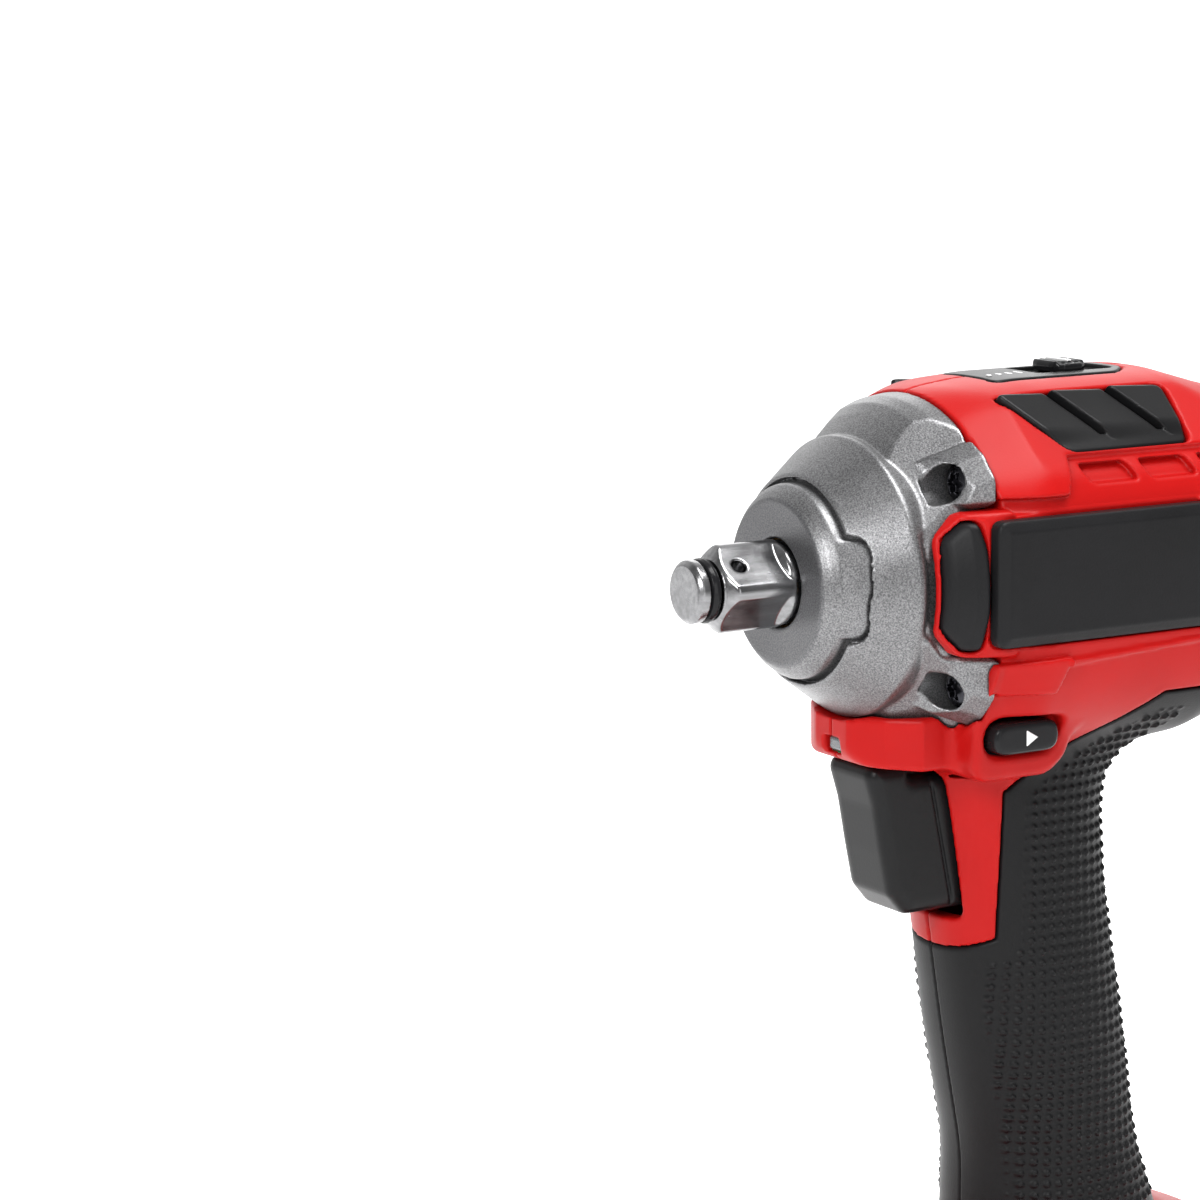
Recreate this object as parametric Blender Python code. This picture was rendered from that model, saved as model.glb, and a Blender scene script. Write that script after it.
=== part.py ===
"""A cordless impact wrench with a half-inch square drive, as separate named pieces.

Shapes are drawn in millimetres in the tool's own frame: X runs backwards along the drive axis from
the tip of the square, +Z is up and -Y is the tool's left side. place() turns that frame into world
metres, with the battery's underside on Z = 0 and the object centred in X.
"""

import math

import bmesh
import bpy
from mathutils import Matrix, Vector

MM = 0.001
GAP = 0.3
TURN_STEPS = 24

# Overall places
TOOL_LENGTH = 140.0
AXIS_HEIGHT = 204.0
X_MIDDLE = TOOL_LENGTH / 2

# Square drive and nose
SQUARE = 12.7
SQUARE_CHAMFER = 1.7
SQUARE_ANGLE = math.radians(43.0)
TIP_RADIUS = 5.8
TIP_LENGTH = 5.2
SQUARE_END = 16.5
JOURNAL_RADIUS = 7.8
NOSE_X = 19.4
NOSE_RADIUS = 15.8
NOSE_BORE = 8.25
BUSH_RADIUS = 10.7
CASE_WALL_X = 36.0
JAW_X = 38.1
ANVIL_END = 46.5
ANVIL_ARM = 20.8
PILOT_RADIUS = 4.0

# Hammer case
CASE_END = 44.7
CONE_END = 33.4
CONE_RADIUS = 26.0
CASE_FRONT_BORE = 22.3
CASE_BORE = 24.0
SPIGOT_RADIUS = 26.0
SPIGOT_END = 86.0
SCREW_Y = 21.5
SCREW_Z = 18.7
SCREW_HEAD_X = 39.5
SCREW_SEAT_X = 42.0
SCREW_END = 51.5
SCREW_RADIUS = 2.0
SCREW_HEAD = 3.6

# Hammer, spring and spindle
HAMMER_X = 47.0
HAMMER_END = 64.5
HAMMER_RADIUS = 23.5
HAMMER_JAW_X = 41.8
SPINDLE_RADIUS = 9.9
SPRING_RADIUS = 15.8
SPRING_WIRE = 1.2
SPRING_TURNS = 3.0
BALL_RADIUS = 2.5
BALL_X = 60.0
BALL_ORBIT = 10.2
CARRIER_X = 73.1
CARRIER_PLATE = 3.0
CARRIER_RADIUS = 18.0

# Planetary gears
MODULE = 0.8
SUN_TEETH = 12
PLANET_TEETH = 18
RING_TEETH = 48
PLANETS = 3
PLANET_ORBIT = MODULE * (SUN_TEETH + PLANET_TEETH) / 2
GEAR_X = CARRIER_X + CARRIER_PLATE + GAP
GEAR_WIDTH = 8.0
GEAR_END = GEAR_X + GEAR_WIDTH
PIN_RADIUS = 2.4

# Motor
SHAFT_RADIUS = 4.0
ROTOR_X = 101.0
ROTOR_END = 115.0
ROTOR_RADIUS = 13.0
STATOR_RADIUS = 23.0
FAN_X = 119.3
FAN_RADIUS = 18.5
SHAFT_END = 131.0

# Housing
BODY_X = 45.0
BODY_END = 112.0
BODY_POWER = 2.5
BODY_WALL = 4.0
SPLIT = 0.15
SIDE_Y = 34.6
PANEL_DEPTH = 2.4
SHOULDER_TILT = math.radians(42.5)
LOUVRE_SLANT = 0.68
LOUVRE_SLOTS = (75.4, 88.6)
GRIP_DEPTH = 2.0
FOOT_Z = -158.0
CHIN_X = 29.3
CHIN_HALF_WIDTH = 17.5
TOP_PANEL_X = 61.5
TOP_PANEL_END = 94.5
TOP_PANEL_HALF_WIDTH = 9.0
SLIDER_X = 83.0
SLIDER_LENGTH = 7.0
SLIDER_ROOM = 18.6
SELECTOR_X = 57.0
SELECTOR_Z = -31.0
SELECTOR_HALF_BAR = 18.0
SELECTOR_TIP_Y = 26.6
HAND_SIZE = 200.0

# Objects with so many cuts that the exact solver loses them
LONG_CHAINS = ("housing_blank", "left_housing", "right_housing")

# Trigger
TRIGGER_X = 35.0
TRIGGER_BACK = 57.0
TRIGGER_TOP = -35.0
TRIGGER_BOTTOM = -64.0
TRIGGER_HALF_WIDTH = 8.0
SWITCH_X = 67.5

# Battery
PACK_X = 20.0
PACK_LENGTH = 114.0
PACK_HALF_WIDTH = 37.3
PACK_TOP = FOOT_Z - 0.4
PACK_SEAM = -174.0
PACK_BOTTOM = -AXIS_HEIGHT
CELL_RADIUS = 9.2
CELL_PITCH = 20.0
CELL_HALF_LENGTH = 32.5
CELL_Z = -190.5
RAIL_HALF_WIDTH = 21.0
RAIL_FLANGE = 26.0
RAIL_HEIGHT = 9.0


def place(point):
    """World metres of a point of the tool frame."""
    x, y, z = point
    return Vector(((x - X_MIDDLE) * MM, y * MM, (z + AXIS_HEIGHT) * MM))


def clear_scene():
    for obj in list(bpy.data.objects):
        bpy.data.objects.remove(obj, do_unlink=True)


def make_material(name, colour, roughness, metallic=0.0):
    material = bpy.data.materials.new(name)
    material.use_nodes = True
    shader = material.node_tree.nodes["Principled BSDF"]
    shader.inputs["Base Color"].default_value = (*colour, 1.0)
    shader.inputs["Roughness"].default_value = roughness
    shader.inputs["Metallic"].default_value = metallic
    return material


# Outlines


def superellipse(half_a, half_b, power, count, centre=(0.0, 0.0)):
    """Points of a superellipse, from its first axis anticlockwise."""
    points = []
    for i in range(count):
        angle = 2 * math.pi * (i + 0.5) / count
        c, s = math.cos(angle), math.sin(angle)
        a = half_a * math.copysign(abs(c) ** (2 / power), c)
        b = half_b * math.copysign(abs(s) ** (2 / power), s)
        points.append((centre[0] + a, centre[1] + b))
    return points


def circle(radius, count, centre=(0.0, 0.0)):
    return superellipse(radius, radius, 2.0, count, centre)


def rounded(corners, radius, steps=3):
    """A polygon with each corner turned into an arc-like curve that starts radius from it."""
    points = []
    for i, corner in enumerate(corners):
        corner = Vector(corner)
        before = Vector(corners[i - 1]) - corner
        after = Vector(corners[(i + 1) % len(corners)]) - corner
        start = corner + before.normalized() * min(radius, before.length / 2.2)
        end = corner + after.normalized() * min(radius, after.length / 2.2)
        for k in range(steps + 1):
            t = k / steps
            points.append(tuple((1 - t) ** 2 * start + 2 * t * (1 - t) * corner + t * t * end))
    return points


def box_outline(a0, b0, a1, b1, radius=0.0, steps=3):
    corners = [(a0, b0), (a1, b0), (a1, b1), (a0, b1)]
    return rounded(corners, radius, steps) if radius else corners


def grown(outline, by):
    """A convex outline scaled so that its box grows by the given length on each side."""
    middle = [(min(p[k] for p in outline) + max(p[k] for p in outline)) / 2 for k in (0, 1)]
    half = [(max(p[k] for p in outline) - min(p[k] for p in outline)) / 2 for k in (0, 1)]
    return [
        tuple(middle[k] + (p[k] - middle[k]) * (half[k] + by) / half[k] for k in (0, 1)) for p in outline
    ]


def gear_outline(teeth, tip, root, tip_share, root_share, phase):
    """Straight-sided teeth: each takes the given share of its pitch at its tip and at its root."""
    pitch = 2 * math.pi / teeth
    points = []
    for i in range(teeth):
        centre = phase + i * pitch
        for radius, share in (
            (root, -root_share), (tip, -tip_share), (tip, tip_share), (root, root_share)
        ):
            angle = centre + share * pitch / 2
            points.append((radius * math.cos(angle), radius * math.sin(angle)))
    return points


# Solids


def axis_point(axis, a, b, along):
    return {"X": (along, a, b), "Y": (a, along, b), "Z": (a, b, along)}[axis]


def loft(sections):
    """A closed solid through sections with the same number of points."""
    bm = bmesh.new()
    rings = [[bm.verts.new(point) for point in section] for section in sections]
    for first, second in zip(rings, rings[1:]):
        for i in range(len(first)):
            j = (i + 1) % len(first)
            bm.faces.new((first[i], first[j], second[j], second[i]))
    bm.faces.new(rings[0][::-1])
    bm.faces.new(rings[-1])
    return bm


def prism(outline, axis, low, high):
    return loft([[axis_point(axis, a, b, along) for a, b in outline] for along in (low, high)])


def box(low, high):
    return prism(box_outline(low[0], low[1], high[0], high[1]), "Z", low[2], high[2])


def turned(profile, steps=TURN_STEPS, centre=(0.0, 0.0)):
    """A solid turned about a line along X, from (x, radius) points that end on the axis."""
    bm = bmesh.new()
    rings = []
    for x, radius in profile:
        if radius == 0:
            rings.append([bm.verts.new((x, *centre))])
        else:
            ring = circle(radius, steps, centre)
            rings.append([bm.verts.new((x, y, z)) for y, z in ring])
    for first, second in zip(rings, rings[1:]):
        for i in range(steps):
            j = (i + 1) % steps
            corners = [
                first[i % len(first)], first[j % len(first)], second[j % len(second)],
                second[i % len(second)],
            ]
            bm.faces.new(list(dict.fromkeys(corners)))
    return bm


def ring(inner, outer, low, high, steps=TURN_STEPS, bevel=0.0):
    """A turned ring with a bore, drawn as a closed profile."""
    profile = [(low, inner), (low, outer - bevel), (low + bevel, outer)]
    profile += [(high - bevel, outer), (high, outer - bevel), (high, inner)]
    if not bevel:
        profile = [(low, inner), (low, outer), (high, outer), (high, inner)]
    bm = bmesh.new()
    loops = [[bm.verts.new((x, y, z)) for y, z in circle(radius, steps)] for x, radius in profile]
    for k, first in enumerate(loops):
        second = loops[(k + 1) % len(loops)]
        for i in range(steps):
            j = (i + 1) % steps
            bm.faces.new((first[i], first[j], second[j], second[i]))
    return bm


def rod(radius, low, high, centre=(0.0, 0.0), steps=16):
    return prism(circle(radius, steps, centre), "X", low, high)


def sphere(radius, centre):
    bm = bmesh.new()
    bmesh.ops.create_icosphere(bm, subdivisions=2, radius=radius)
    bm.transform(Matrix.Translation(centre))
    return bm


def coil(
    radius, wire, low, high, turns, along=Vector((1, 0, 0)), centre=Vector((0, 0, 0)), steps=14, sides=6
):
    """A round-wire compression spring whose wire centres run from low to high along an axis."""
    bm = bmesh.new()
    across = along.orthogonal().normalized()
    other = along.cross(across)
    count = round(turns * steps)
    loops = []
    for i in range(count + 1):
        angle = 2 * math.pi * i / steps
        outward = across * math.cos(angle) + other * math.sin(angle)
        middle = centre + along * (low + (high - low) * i / count) + outward * radius
        loop = []
        for k in range(sides):
            turn = 2 * math.pi * k / sides
            loop.append(
                bm.verts.new(middle + wire * (outward * math.cos(turn) + along * math.sin(turn)))
            )
        loops.append(loop)
    for first, second in zip(loops, loops[1:]):
        for k in range(sides):
            j = (k + 1) % sides
            bm.faces.new((first[k], first[j], second[j], second[k]))
    bm.faces.new(loops[0][::-1])
    bm.faces.new(loops[-1])
    return bm


# Objects


def make_object(name, bm, material, pivot=(0.0, 0.0, 0.0)):
    """Turns a solid of the tool frame into an object whose origin lies at pivot."""
    bmesh.ops.recalc_face_normals(bm, faces=bm.faces)
    bm.transform(Matrix.Scale(MM, 4) @ Matrix.Translation(-Vector(pivot)))
    mesh = bpy.data.meshes.new(name)
    bm.to_mesh(mesh)
    bm.free()
    mesh.shade_smooth()
    mesh.set_sharp_from_angle(angle=math.radians(35))
    if material:
        mesh.materials.append(material)
    obj = bpy.data.objects.new(name, mesh)
    obj.location = place(pivot)
    bpy.context.scene.collection.objects.link(obj)
    return obj


def make_helper(name, bm):
    helper = make_object(name, bm, None)
    helper.hide_render = True
    helper.display_type = "WIRE"
    return helper


def combine(target, operation, *shapes):
    """Adds a Boolean to target for each shape, given as a solid or as an existing helper."""
    for shape in shapes:
        if isinstance(shape, bmesh.types.BMesh):
            shape = make_helper(f"{target.name}_{operation.lower()}_{len(target.modifiers)}", shape)
        modifier = target.modifiers.new(operation.title(), "BOOLEAN")
        modifier.operation = operation
        modifier.solver = "MANIFOLD" if target.name in LONG_CHAINS else "EXACT"
        modifier.object = shape
    return target


def cut(target, *shapes):
    return combine(target, "DIFFERENCE", *shapes)


def join(target, *shapes):
    return combine(target, "UNION", *shapes)


def keep(target, *shapes):
    return combine(target, "INTERSECT", *shapes)


# Body outline, shared by the housing, its cavity and its inlays


def barrel(inset, low, high):
    """The barrel of the housing, inset all round, between two places on the axis."""
    stations = [(BODY_X, 33.2, 33.4), (50.0, 34.6, 35.2), (98.0, 34.6, 35.4), (BODY_END, 31.4, 31.4)]
    xs = [low] + [x for x, _, _ in stations if low < x < high] + [high]
    sections = []
    for x in xs:
        for first, second in zip(stations, stations[1:]):
            if x <= second[0]:
                break
        share = (x - first[0]) / (second[0] - first[0])
        half_y = first[1] + share * (second[1] - first[1]) - inset
        half_z = first[2] + share * (second[2] - first[2]) - inset
        outline = superellipse(half_y, half_z, BODY_POWER, TURN_STEPS)
        sections.append([(x, y, z) for y, z in outline])
    return loft(sections)


def handle(inset, top=-20.0, bottom=-138.0):
    """The handle, from inside the barrel down to the foot."""
    stations = [
        (-20.0, 72.0, 28.0, 17.0),
        (-34.0, 70.0, 23.0, 17.0),
        (-45.0, 69.2, 19.5, 16.6),
        (-64.0, 71.5, 18.8, 16.4),
        (-90.0, 75.5, 18.8, 17.4),
        (-114.0, 79.5, 18.4, 16.8),
        (-132.0, 82.5, 21.5, 19.0),
        (-144.0, 83.5, 27.0, 25.0),
    ]
    sections = []
    for z, middle, half_x, half_y in stations:
        if bottom - 8 < z <= top:
            outline = superellipse(half_x - inset, half_y - inset, 2.3, 24, (middle, 0.0))
            sections.append([(x, y, z) for x, y in outline])
    return loft(sections)


def foot(inset):
    """The shoe that holds the battery, widening downwards."""
    stations = [(-133.0, 83.0, 26.0, 23.0), (-141.0, 79.5, 50.0, 34.0), (FOOT_Z, 76.5, 56.5, 37.0)]
    sections = []
    for z, middle, half_x, half_y in stations:
        outline = superellipse(half_x - inset, half_y - inset, 5.0, TURN_STEPS, (middle, 0.0))
        sections.append([(x, y, z - inset * (z == stations[0][0])) for x, y in outline])
    return loft(sections)


def side_outlines():
    """Outlines in X and Z of the inlays on each side: the long panel and the bumper at the nose."""
    panel = rounded(
        [(46.0, -10.0), (92.0, -10.0), (96.0, -4.0), (96.0, 8.0), (92.0, 13.0), (46.0, 13.0)], 2.5, 2
    )
    bumper = rounded(
        [(36.2, -7.0), (39.8, -9.8), (44.0, -8.2), (44.0, 10.5), (39.8, 12.6), (36.2, 9.6)], 1.5, 2
    )
    return panel, bumper


def ear_outline(clearance):
    """Outline in X and Z of the ear that carries the nose bumper over the side of the hammer case."""
    back = 48.0 + clearance
    low, high = -11.8 - clearance, 14.0 + clearance
    front = 34.4 - clearance
    return rounded(
        [
            (front, -6.5 - clearance), (39.2, low), (back, low), (back, high), (39.2, high),
            (front, 10.6 + clearance),
        ],
        1.5, 2,
    )


def grip_outline(clearance):
    """Outline in X and Z of the rubber grip on one side."""
    corners = [(60.0, -41.0), (71.0, -32.0), (86.0, -22.5), (120.0, -22.5), (120.0, -130.5)]
    corners += [(50.0, -130.5), (50.0, -74.5), (60.0, -69.5)]
    return [(x, z + clearance) if z > -35 else (x - clearance, z) for x, z in corners]


def tilted_block(outline, side, inner, outer):
    """A block on the shoulder between a side and the top: outline is X and distance up the shoulder."""
    angle = SHOULDER_TILT
    up = Vector((0.0, -side * math.cos(angle), math.sin(angle)))
    out = Vector((0.0, side * math.sin(angle), math.cos(angle)))
    return loft(
        [[Vector((a, 0, 0)) + up * b + out * depth for a, b in outline] for depth in (inner, outer)]
    )


def louvre_outline():
    return rounded([(55.8, 10.4), (65.4, -4.2), (92.8, -4.2), (94.4, 10.4)], 1.5, 2)


def selector_outline(clearance):
    return rounded(
        [(50.4 - clearance, -31.2 - clearance), (63.6 + clearance, -31.2 - clearance)]
        + [(63.6 + clearance, -25.6 + clearance), (50.4 - clearance, -25.6 + clearance)],
        2.8,
        3,
    )


# Drive train


def build_anvil(steel):
    """Square drive, journal and two striking arms."""
    angle = SQUARE_ANGLE
    half = SQUARE / 2
    edge = half - SQUARE_CHAMFER
    flat = [(half, -edge), (half, edge)]
    square = []
    for i in range(4):
        turn = angle + i * math.pi / 2
        for a, b in flat:
            square.append(
                (a * math.cos(turn) - b * math.sin(turn), a * math.sin(turn) + b * math.cos(turn))
            )
    anvil = make_object("anvil", prism(square, "X", TIP_LENGTH, SQUARE_END + 1), steel)
    tip = [(0, 0), (0, TIP_RADIUS - 0.8), (0.8, TIP_RADIUS), (2.3, TIP_RADIUS), (2.3, 4.6), (5.0, 4.6)]
    tip += [(5.0, TIP_RADIUS), (TIP_LENGTH + 1, TIP_RADIUS), (TIP_LENGTH + 1, 0)]
    shank = [
        (SQUARE_END, 0), (SQUARE_END, JOURNAL_RADIUS), (JAW_X, JOURNAL_RADIUS), (JAW_X, 13.0),
        (41.5, 13.0),
    ]
    shank += [
        (41.5, 10.0), (ANVIL_END, 10.0), (ANVIL_END, PILOT_RADIUS + GAP), (36.5, PILOT_RADIUS + GAP),
        (36.5, 0),
    ]
    join(anvil, turned(tip, 24), turned(shank))
    arms = box((JAW_X, -6.0, -ANVIL_ARM), (ANVIL_END, 6.0, ANVIL_ARM))
    join(anvil, arms)
    cut(anvil, rod(PILOT_RADIUS + GAP, 36.5, 60.0, steps=TURN_STEPS))
    cut(anvil, detent_hole())
    return anvil


def detent_hole():
    """The blind cross hole in one flat, near the front of the square."""
    bm = prism(circle(1.4, 12), "Z", 3.0, 9.0)
    bm.transform(Matrix.Translation((9.0, 0, 0)) @ Matrix.Rotation(SQUARE_ANGLE, 4, "X"))
    return bm


def jaw_outline(turn):
    """One jaw in Y and Z: a sector whose leading face lies against an arm of the anvil."""
    inner, outer = 10.6, 21.0
    face = 6.0 + GAP
    points = []
    for radius, order in ((inner, (0, 1, 2)), (outer, (4, 3, 2, 1, 0))):
        first, last = math.radians(33), math.acos(face / radius)
        for k in order:
            angle = turn + first + (last - first) * k / max(order)
            points.append((radius * math.cos(angle), radius * math.sin(angle)))
    return points


def build_hammer(steel):
    body = ring(SPINDLE_RADIUS + GAP + 0.1, HAMMER_RADIUS, HAMMER_X, HAMMER_END, bevel=1.0)
    hammer = make_object("hammer", body, steel)
    for turn in (0, math.pi):
        join(hammer, prism(jaw_outline(turn), "X", HAMMER_JAW_X, HAMMER_X + 1))
    cut(hammer, ring(13.0, SPRING_RADIUS + SPRING_WIRE + 1.2, 55.0, HAMMER_END + 5))
    for side in (-1, 1):
        cut(hammer, rod(BALL_RADIUS + GAP, 50.5, HAMMER_END + 3, (side * BALL_ORBIT, 0.0), 12))
    return hammer


def orbit(index):
    """Where a planet's pin stands, in Y and Z."""
    angle = 2 * math.pi * index / PLANETS
    return PLANET_ORBIT * math.cos(angle), PLANET_ORBIT * math.sin(angle)


def build_spindle(steel):
    """The hammer's shaft and the planet carrier in one piece."""
    plate_end = CARRIER_X + CARRIER_PLATE
    rear_plate = GEAR_END + GAP
    front = [(37.0, 0), (37.0, PILOT_RADIUS), (46.9, PILOT_RADIUS), (46.9, SPINDLE_RADIUS)]
    front += [
        (CARRIER_X, SPINDLE_RADIUS), (CARRIER_X, CARRIER_RADIUS), (plate_end, CARRIER_RADIUS),
        (plate_end, 0),
    ]
    spindle = make_object("spindle", turned(front), steel)
    for index in range(PLANETS):
        angle = 2 * math.pi * (index + 0.5) / PLANETS
        post = (14.6 * math.cos(angle), 14.6 * math.sin(angle))
        join(spindle, rod(3.0, plate_end - 1, rear_plate + 1, post, 12))
    join(spindle, ring(6.6, CARRIER_RADIUS, rear_plate, rear_plate + CARRIER_PLATE))
    join(spindle, ring(6.6, 10.0, rear_plate + CARRIER_PLATE - 1, 93.2))
    for index in range(PLANETS):
        cut(spindle, rod(PIN_RADIUS + GAP, CARRIER_X - 2, rear_plate + CARRIER_PLATE + 2, orbit(index)))
    for side in (-1, 1):
        cut(spindle, sphere(BALL_RADIUS + GAP, (BALL_X, side * BALL_ORBIT, 0.0)))
    return spindle


def build_gears(steel, dark_steel):
    """Sun, planets and ring stand in mesh, with each planet's gaps towards the sun and the ring."""
    sun_pitch = MODULE * SUN_TEETH / 2
    planet_pitch = MODULE * PLANET_TEETH / 2
    ring_pitch = MODULE * RING_TEETH / 2
    addendum, dedendum = 0.75 * MODULE, 1.1 * MODULE

    teeth = gear_outline(SUN_TEETH, sun_pitch + addendum, sun_pitch - dedendum, 0.26, 0.62, 0.0)
    rotor = make_object("rotor_shaft", prism(teeth, "X", GEAR_X + 0.3, GEAR_END), dark_steel)
    join(
        rotor,
        turned(
            [
                (GEAR_X + 4, 0), (GEAR_X + 4, 3.4), (86.0, 3.4), (86.0, SHAFT_RADIUS),
                (SHAFT_END, SHAFT_RADIUS), (SHAFT_END, 0),
            ],
            24,
        ),
    )

    for index in range(PLANETS):
        toward = 2 * math.pi * index / PLANETS
        phase = toward + math.pi + math.pi / PLANET_TEETH
        outline = gear_outline(
            PLANET_TEETH, planet_pitch + addendum, planet_pitch - dedendum, 0.26, 0.62, phase
        )
        y, z = orbit(index)
        outline = [(a + y, b + z) for a, b in outline]
        gear = make_object(
            f"planet_gear_{index + 1}", prism(outline, "X", GEAR_X, GEAR_END), steel, (GEAR_X, y, z)
        )
        cut(gear, rod(PIN_RADIUS + GAP, GEAR_X - 1, GEAR_END + 1, (y, z)))
        pin = rod(PIN_RADIUS, CARRIER_X + GAP, GEAR_END + CARRIER_PLATE, (y, z))
        make_object(f"planet_pin_{index + 1}", pin, dark_steel, (GEAR_X, y, z))

    blank = make_object(
        "ring_gear", rod(CASE_BORE - GAP, GEAR_X - 0.1, GEAR_END + 1, steps=TURN_STEPS), steel
    )
    teeth = gear_outline(RING_TEETH, ring_pitch - addendum, ring_pitch + dedendum, 0.26, 0.62, 0.0)
    cut(blank, prism(teeth, "X", GEAR_X - 2, GEAR_END + 3))


def build_drive(materials):
    steel, dark, alloy = materials["steel"], materials["dark_steel"], materials["aluminium"]
    build_anvil(dark)
    friction = ring(4.6 + GAP, TIP_RADIUS - 0.1, 2.3 + GAP, 5.0 - GAP, 24)
    make_object("friction_ring", friction, materials["rubber"])
    make_object("anvil_bush", ring(JOURNAL_RADIUS + GAP, BUSH_RADIUS, 21.8, 35.6), materials["bronze"])
    make_object("anvil_washer", ring(JOURNAL_RADIUS + GAP, 15.0, CASE_WALL_X + GAP, JAW_X - GAP), steel)
    build_hammer(dark)
    spring = coil(
        SPRING_RADIUS, SPRING_WIRE, 55.0 + GAP + SPRING_WIRE, 71.3 - GAP - SPRING_WIRE, SPRING_TURNS,
        steps=12, sides=5,
    )
    make_object("hammer_spring", spring, steel)
    make_object("spring_seat", ring(SPINDLE_RADIUS + GAP, 20.0, 71.3, CARRIER_X - GAP), steel)
    for index, side in enumerate((-1, 1)):
        centre = (BALL_X, side * BALL_ORBIT, 0.0)
        make_object(f"cam_ball_{index + 1}", sphere(BALL_RADIUS, centre), steel, centre)
    build_spindle(steel)
    build_gears(steel, dark)
    make_object("spindle_bearing", ring(10.0 + GAP, 15.0, 88.2, 93.2, bevel=0.6), steel)
    plate = make_object("gearbox_plate", ring(9.0, SPIGOT_RADIUS, SPIGOT_END + 1, 97.6), alloy)
    cut(plate, rod(15.0 + GAP, 80.0, 93.5, steps=TURN_STEPS))
    cut(plate, rod(19.0, 80.0, 88.0, steps=TURN_STEPS))
    bearing = ring(SHAFT_RADIUS + GAP, 9.0 - GAP, 93.8, 97.6, 24, bevel=0.5)
    make_object("front_motor_bearing", bearing, steel)


def build_motor(materials):
    """Rotor, stator, fan and rear bearing of the brushless motor."""
    core = ring(SHAFT_RADIUS + GAP, ROTOR_RADIUS, ROTOR_X, ROTOR_END, 24, bevel=0.5)
    make_object("rotor_core", core, materials["dark_steel"])
    stator = make_object(
        "stator", ring(ROTOR_RADIUS + 0.7, STATOR_RADIUS, ROTOR_X - 2, ROTOR_END + 2),
        materials["copper"],
    )
    for index in range(6):
        angle = math.pi * (index + 0.5) / 3
        slot = (18.2 * math.cos(angle), 18.2 * math.sin(angle))
        cut(stator, rod(2.6, ROTOR_X - 5, ROTOR_END + 5, slot, 10))
    fan = make_object("fan", ring(SHAFT_RADIUS + GAP, 8.0, FAN_X, FAN_X + 5, 24), materials["plastic"])
    join(fan, ring(6.0, FAN_RADIUS, FAN_X, FAN_X + 1.6, 24))
    for index in range(9):
        turn = Matrix.Rotation(2 * math.pi * index / 9, 4, "X")
        tip = FAN_RADIUS - 0.5
        blade = prism([(7.0, -0.7), (tip, -2.7), (tip, -1.3), (7.0, 0.7)], "X", FAN_X + 1, FAN_X + 4.6)
        blade.transform(turn)
        join(fan, blade)
    bearing = ring(SHAFT_RADIUS + GAP, 9.0, 126.2, 130.7, 24, bevel=0.5)
    make_object("rear_motor_bearing", bearing, materials["steel"])


# Casings


def build_hammer_case(materials):
    """Cast front case: a nose disc, a flared cone with four screw lobes, and a spigot in the housing."""
    outer = [(NOSE_X, 0), (NOSE_X, NOSE_RADIUS - 0.8), (NOSE_X + 0.6, NOSE_RADIUS)]
    outer += [(22.2, 17.8), (24.0, 18.5), (24.3, 19.6)]
    outer += [(CONE_END, CONE_RADIUS), (35.0, 26.1), (38.6, 29.4), (41.2, 31.4), (CASE_END, 32.7)]
    outer += [(CASE_END, SPIGOT_RADIUS), (SPIGOT_END, SPIGOT_RADIUS), (SPIGOT_END, 0)]
    case = make_object("hammer_case", turned(outer), materials["cast"])
    bore = [
        (NOSE_X - 2, 0), (NOSE_X - 2, NOSE_BORE), (21.5, NOSE_BORE), (21.5, BUSH_RADIUS + GAP),
        (35.9, BUSH_RADIUS + GAP),
    ]
    bore += [
        (35.9, CASE_FRONT_BORE), (46.7, CASE_FRONT_BORE), (46.7, CASE_BORE), (SPIGOT_END + 2, CASE_BORE),
        (SPIGOT_END + 2, 0),
    ]
    cut(case, turned(bore))
    for side in (-1, 1):
        ear = ear_outline(0.4)
        low, high = sorted((side * 28.3, side * 40.0))
        cut(case, prism(ear, "Y", low, high))
    for y, z in screw_places():
        cut(case, rod(SCREW_HEAD + GAP, 20.0, SCREW_SEAT_X, (y, z)))
        cut(case, rod(SCREW_RADIUS + GAP, 30.0, 60.0, (y, z), 12))
    return case


def screw_places():
    return [(y * SCREW_Y, z * SCREW_Z) for y in (-1, 1) for z in (-1, 1)]


def build_case_screws(materials):
    names = ("left_lower", "left_upper", "right_lower", "right_upper")
    for name, (y, z) in zip(names, screw_places()):
        head = SCREW_SEAT_X - GAP
        screw = make_object(
            f"case_screw_{name}", rod(SCREW_HEAD, SCREW_HEAD_X, head, (y, z)), materials["black_steel"],
            (head, y, z),
        )
        join(screw, rod(SCREW_RADIUS, head - 1, SCREW_END, (y, z), 12))
        cut(screw, prism(circle(2.0, 6, (y, z)), "X", SCREW_HEAD_X - 1, SCREW_HEAD_X + 1.4))


def chin():
    """The short nose under the hammer case, narrowing towards its front face."""
    front = CHIN_X
    outline = [(front + 0.5, -25.0), (56.0, -25.0), (56.0, -38.0), (47.0, -34.6)]
    outline += [(front + 2.4, -34.4), (front, -32.0)]
    shape = make_helper("chin", prism(rounded(outline, 1.5, 2), "Y", -CHIN_HALF_WIDTH, CHIN_HALF_WIDTH))
    for side in (-1, 1):
        corner = [(front - 2.0, 3.5), (front + 4.2, 13.2), (front + 9.5, CHIN_HALF_WIDTH + 1.0)]
        corner.append((front - 2.0, CHIN_HALF_WIDTH + 1.0))
        cut(shape, prism([(a, side * b) for a, b in corner][::side], "Z", -45.0, -20.0))
    return shape


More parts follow.
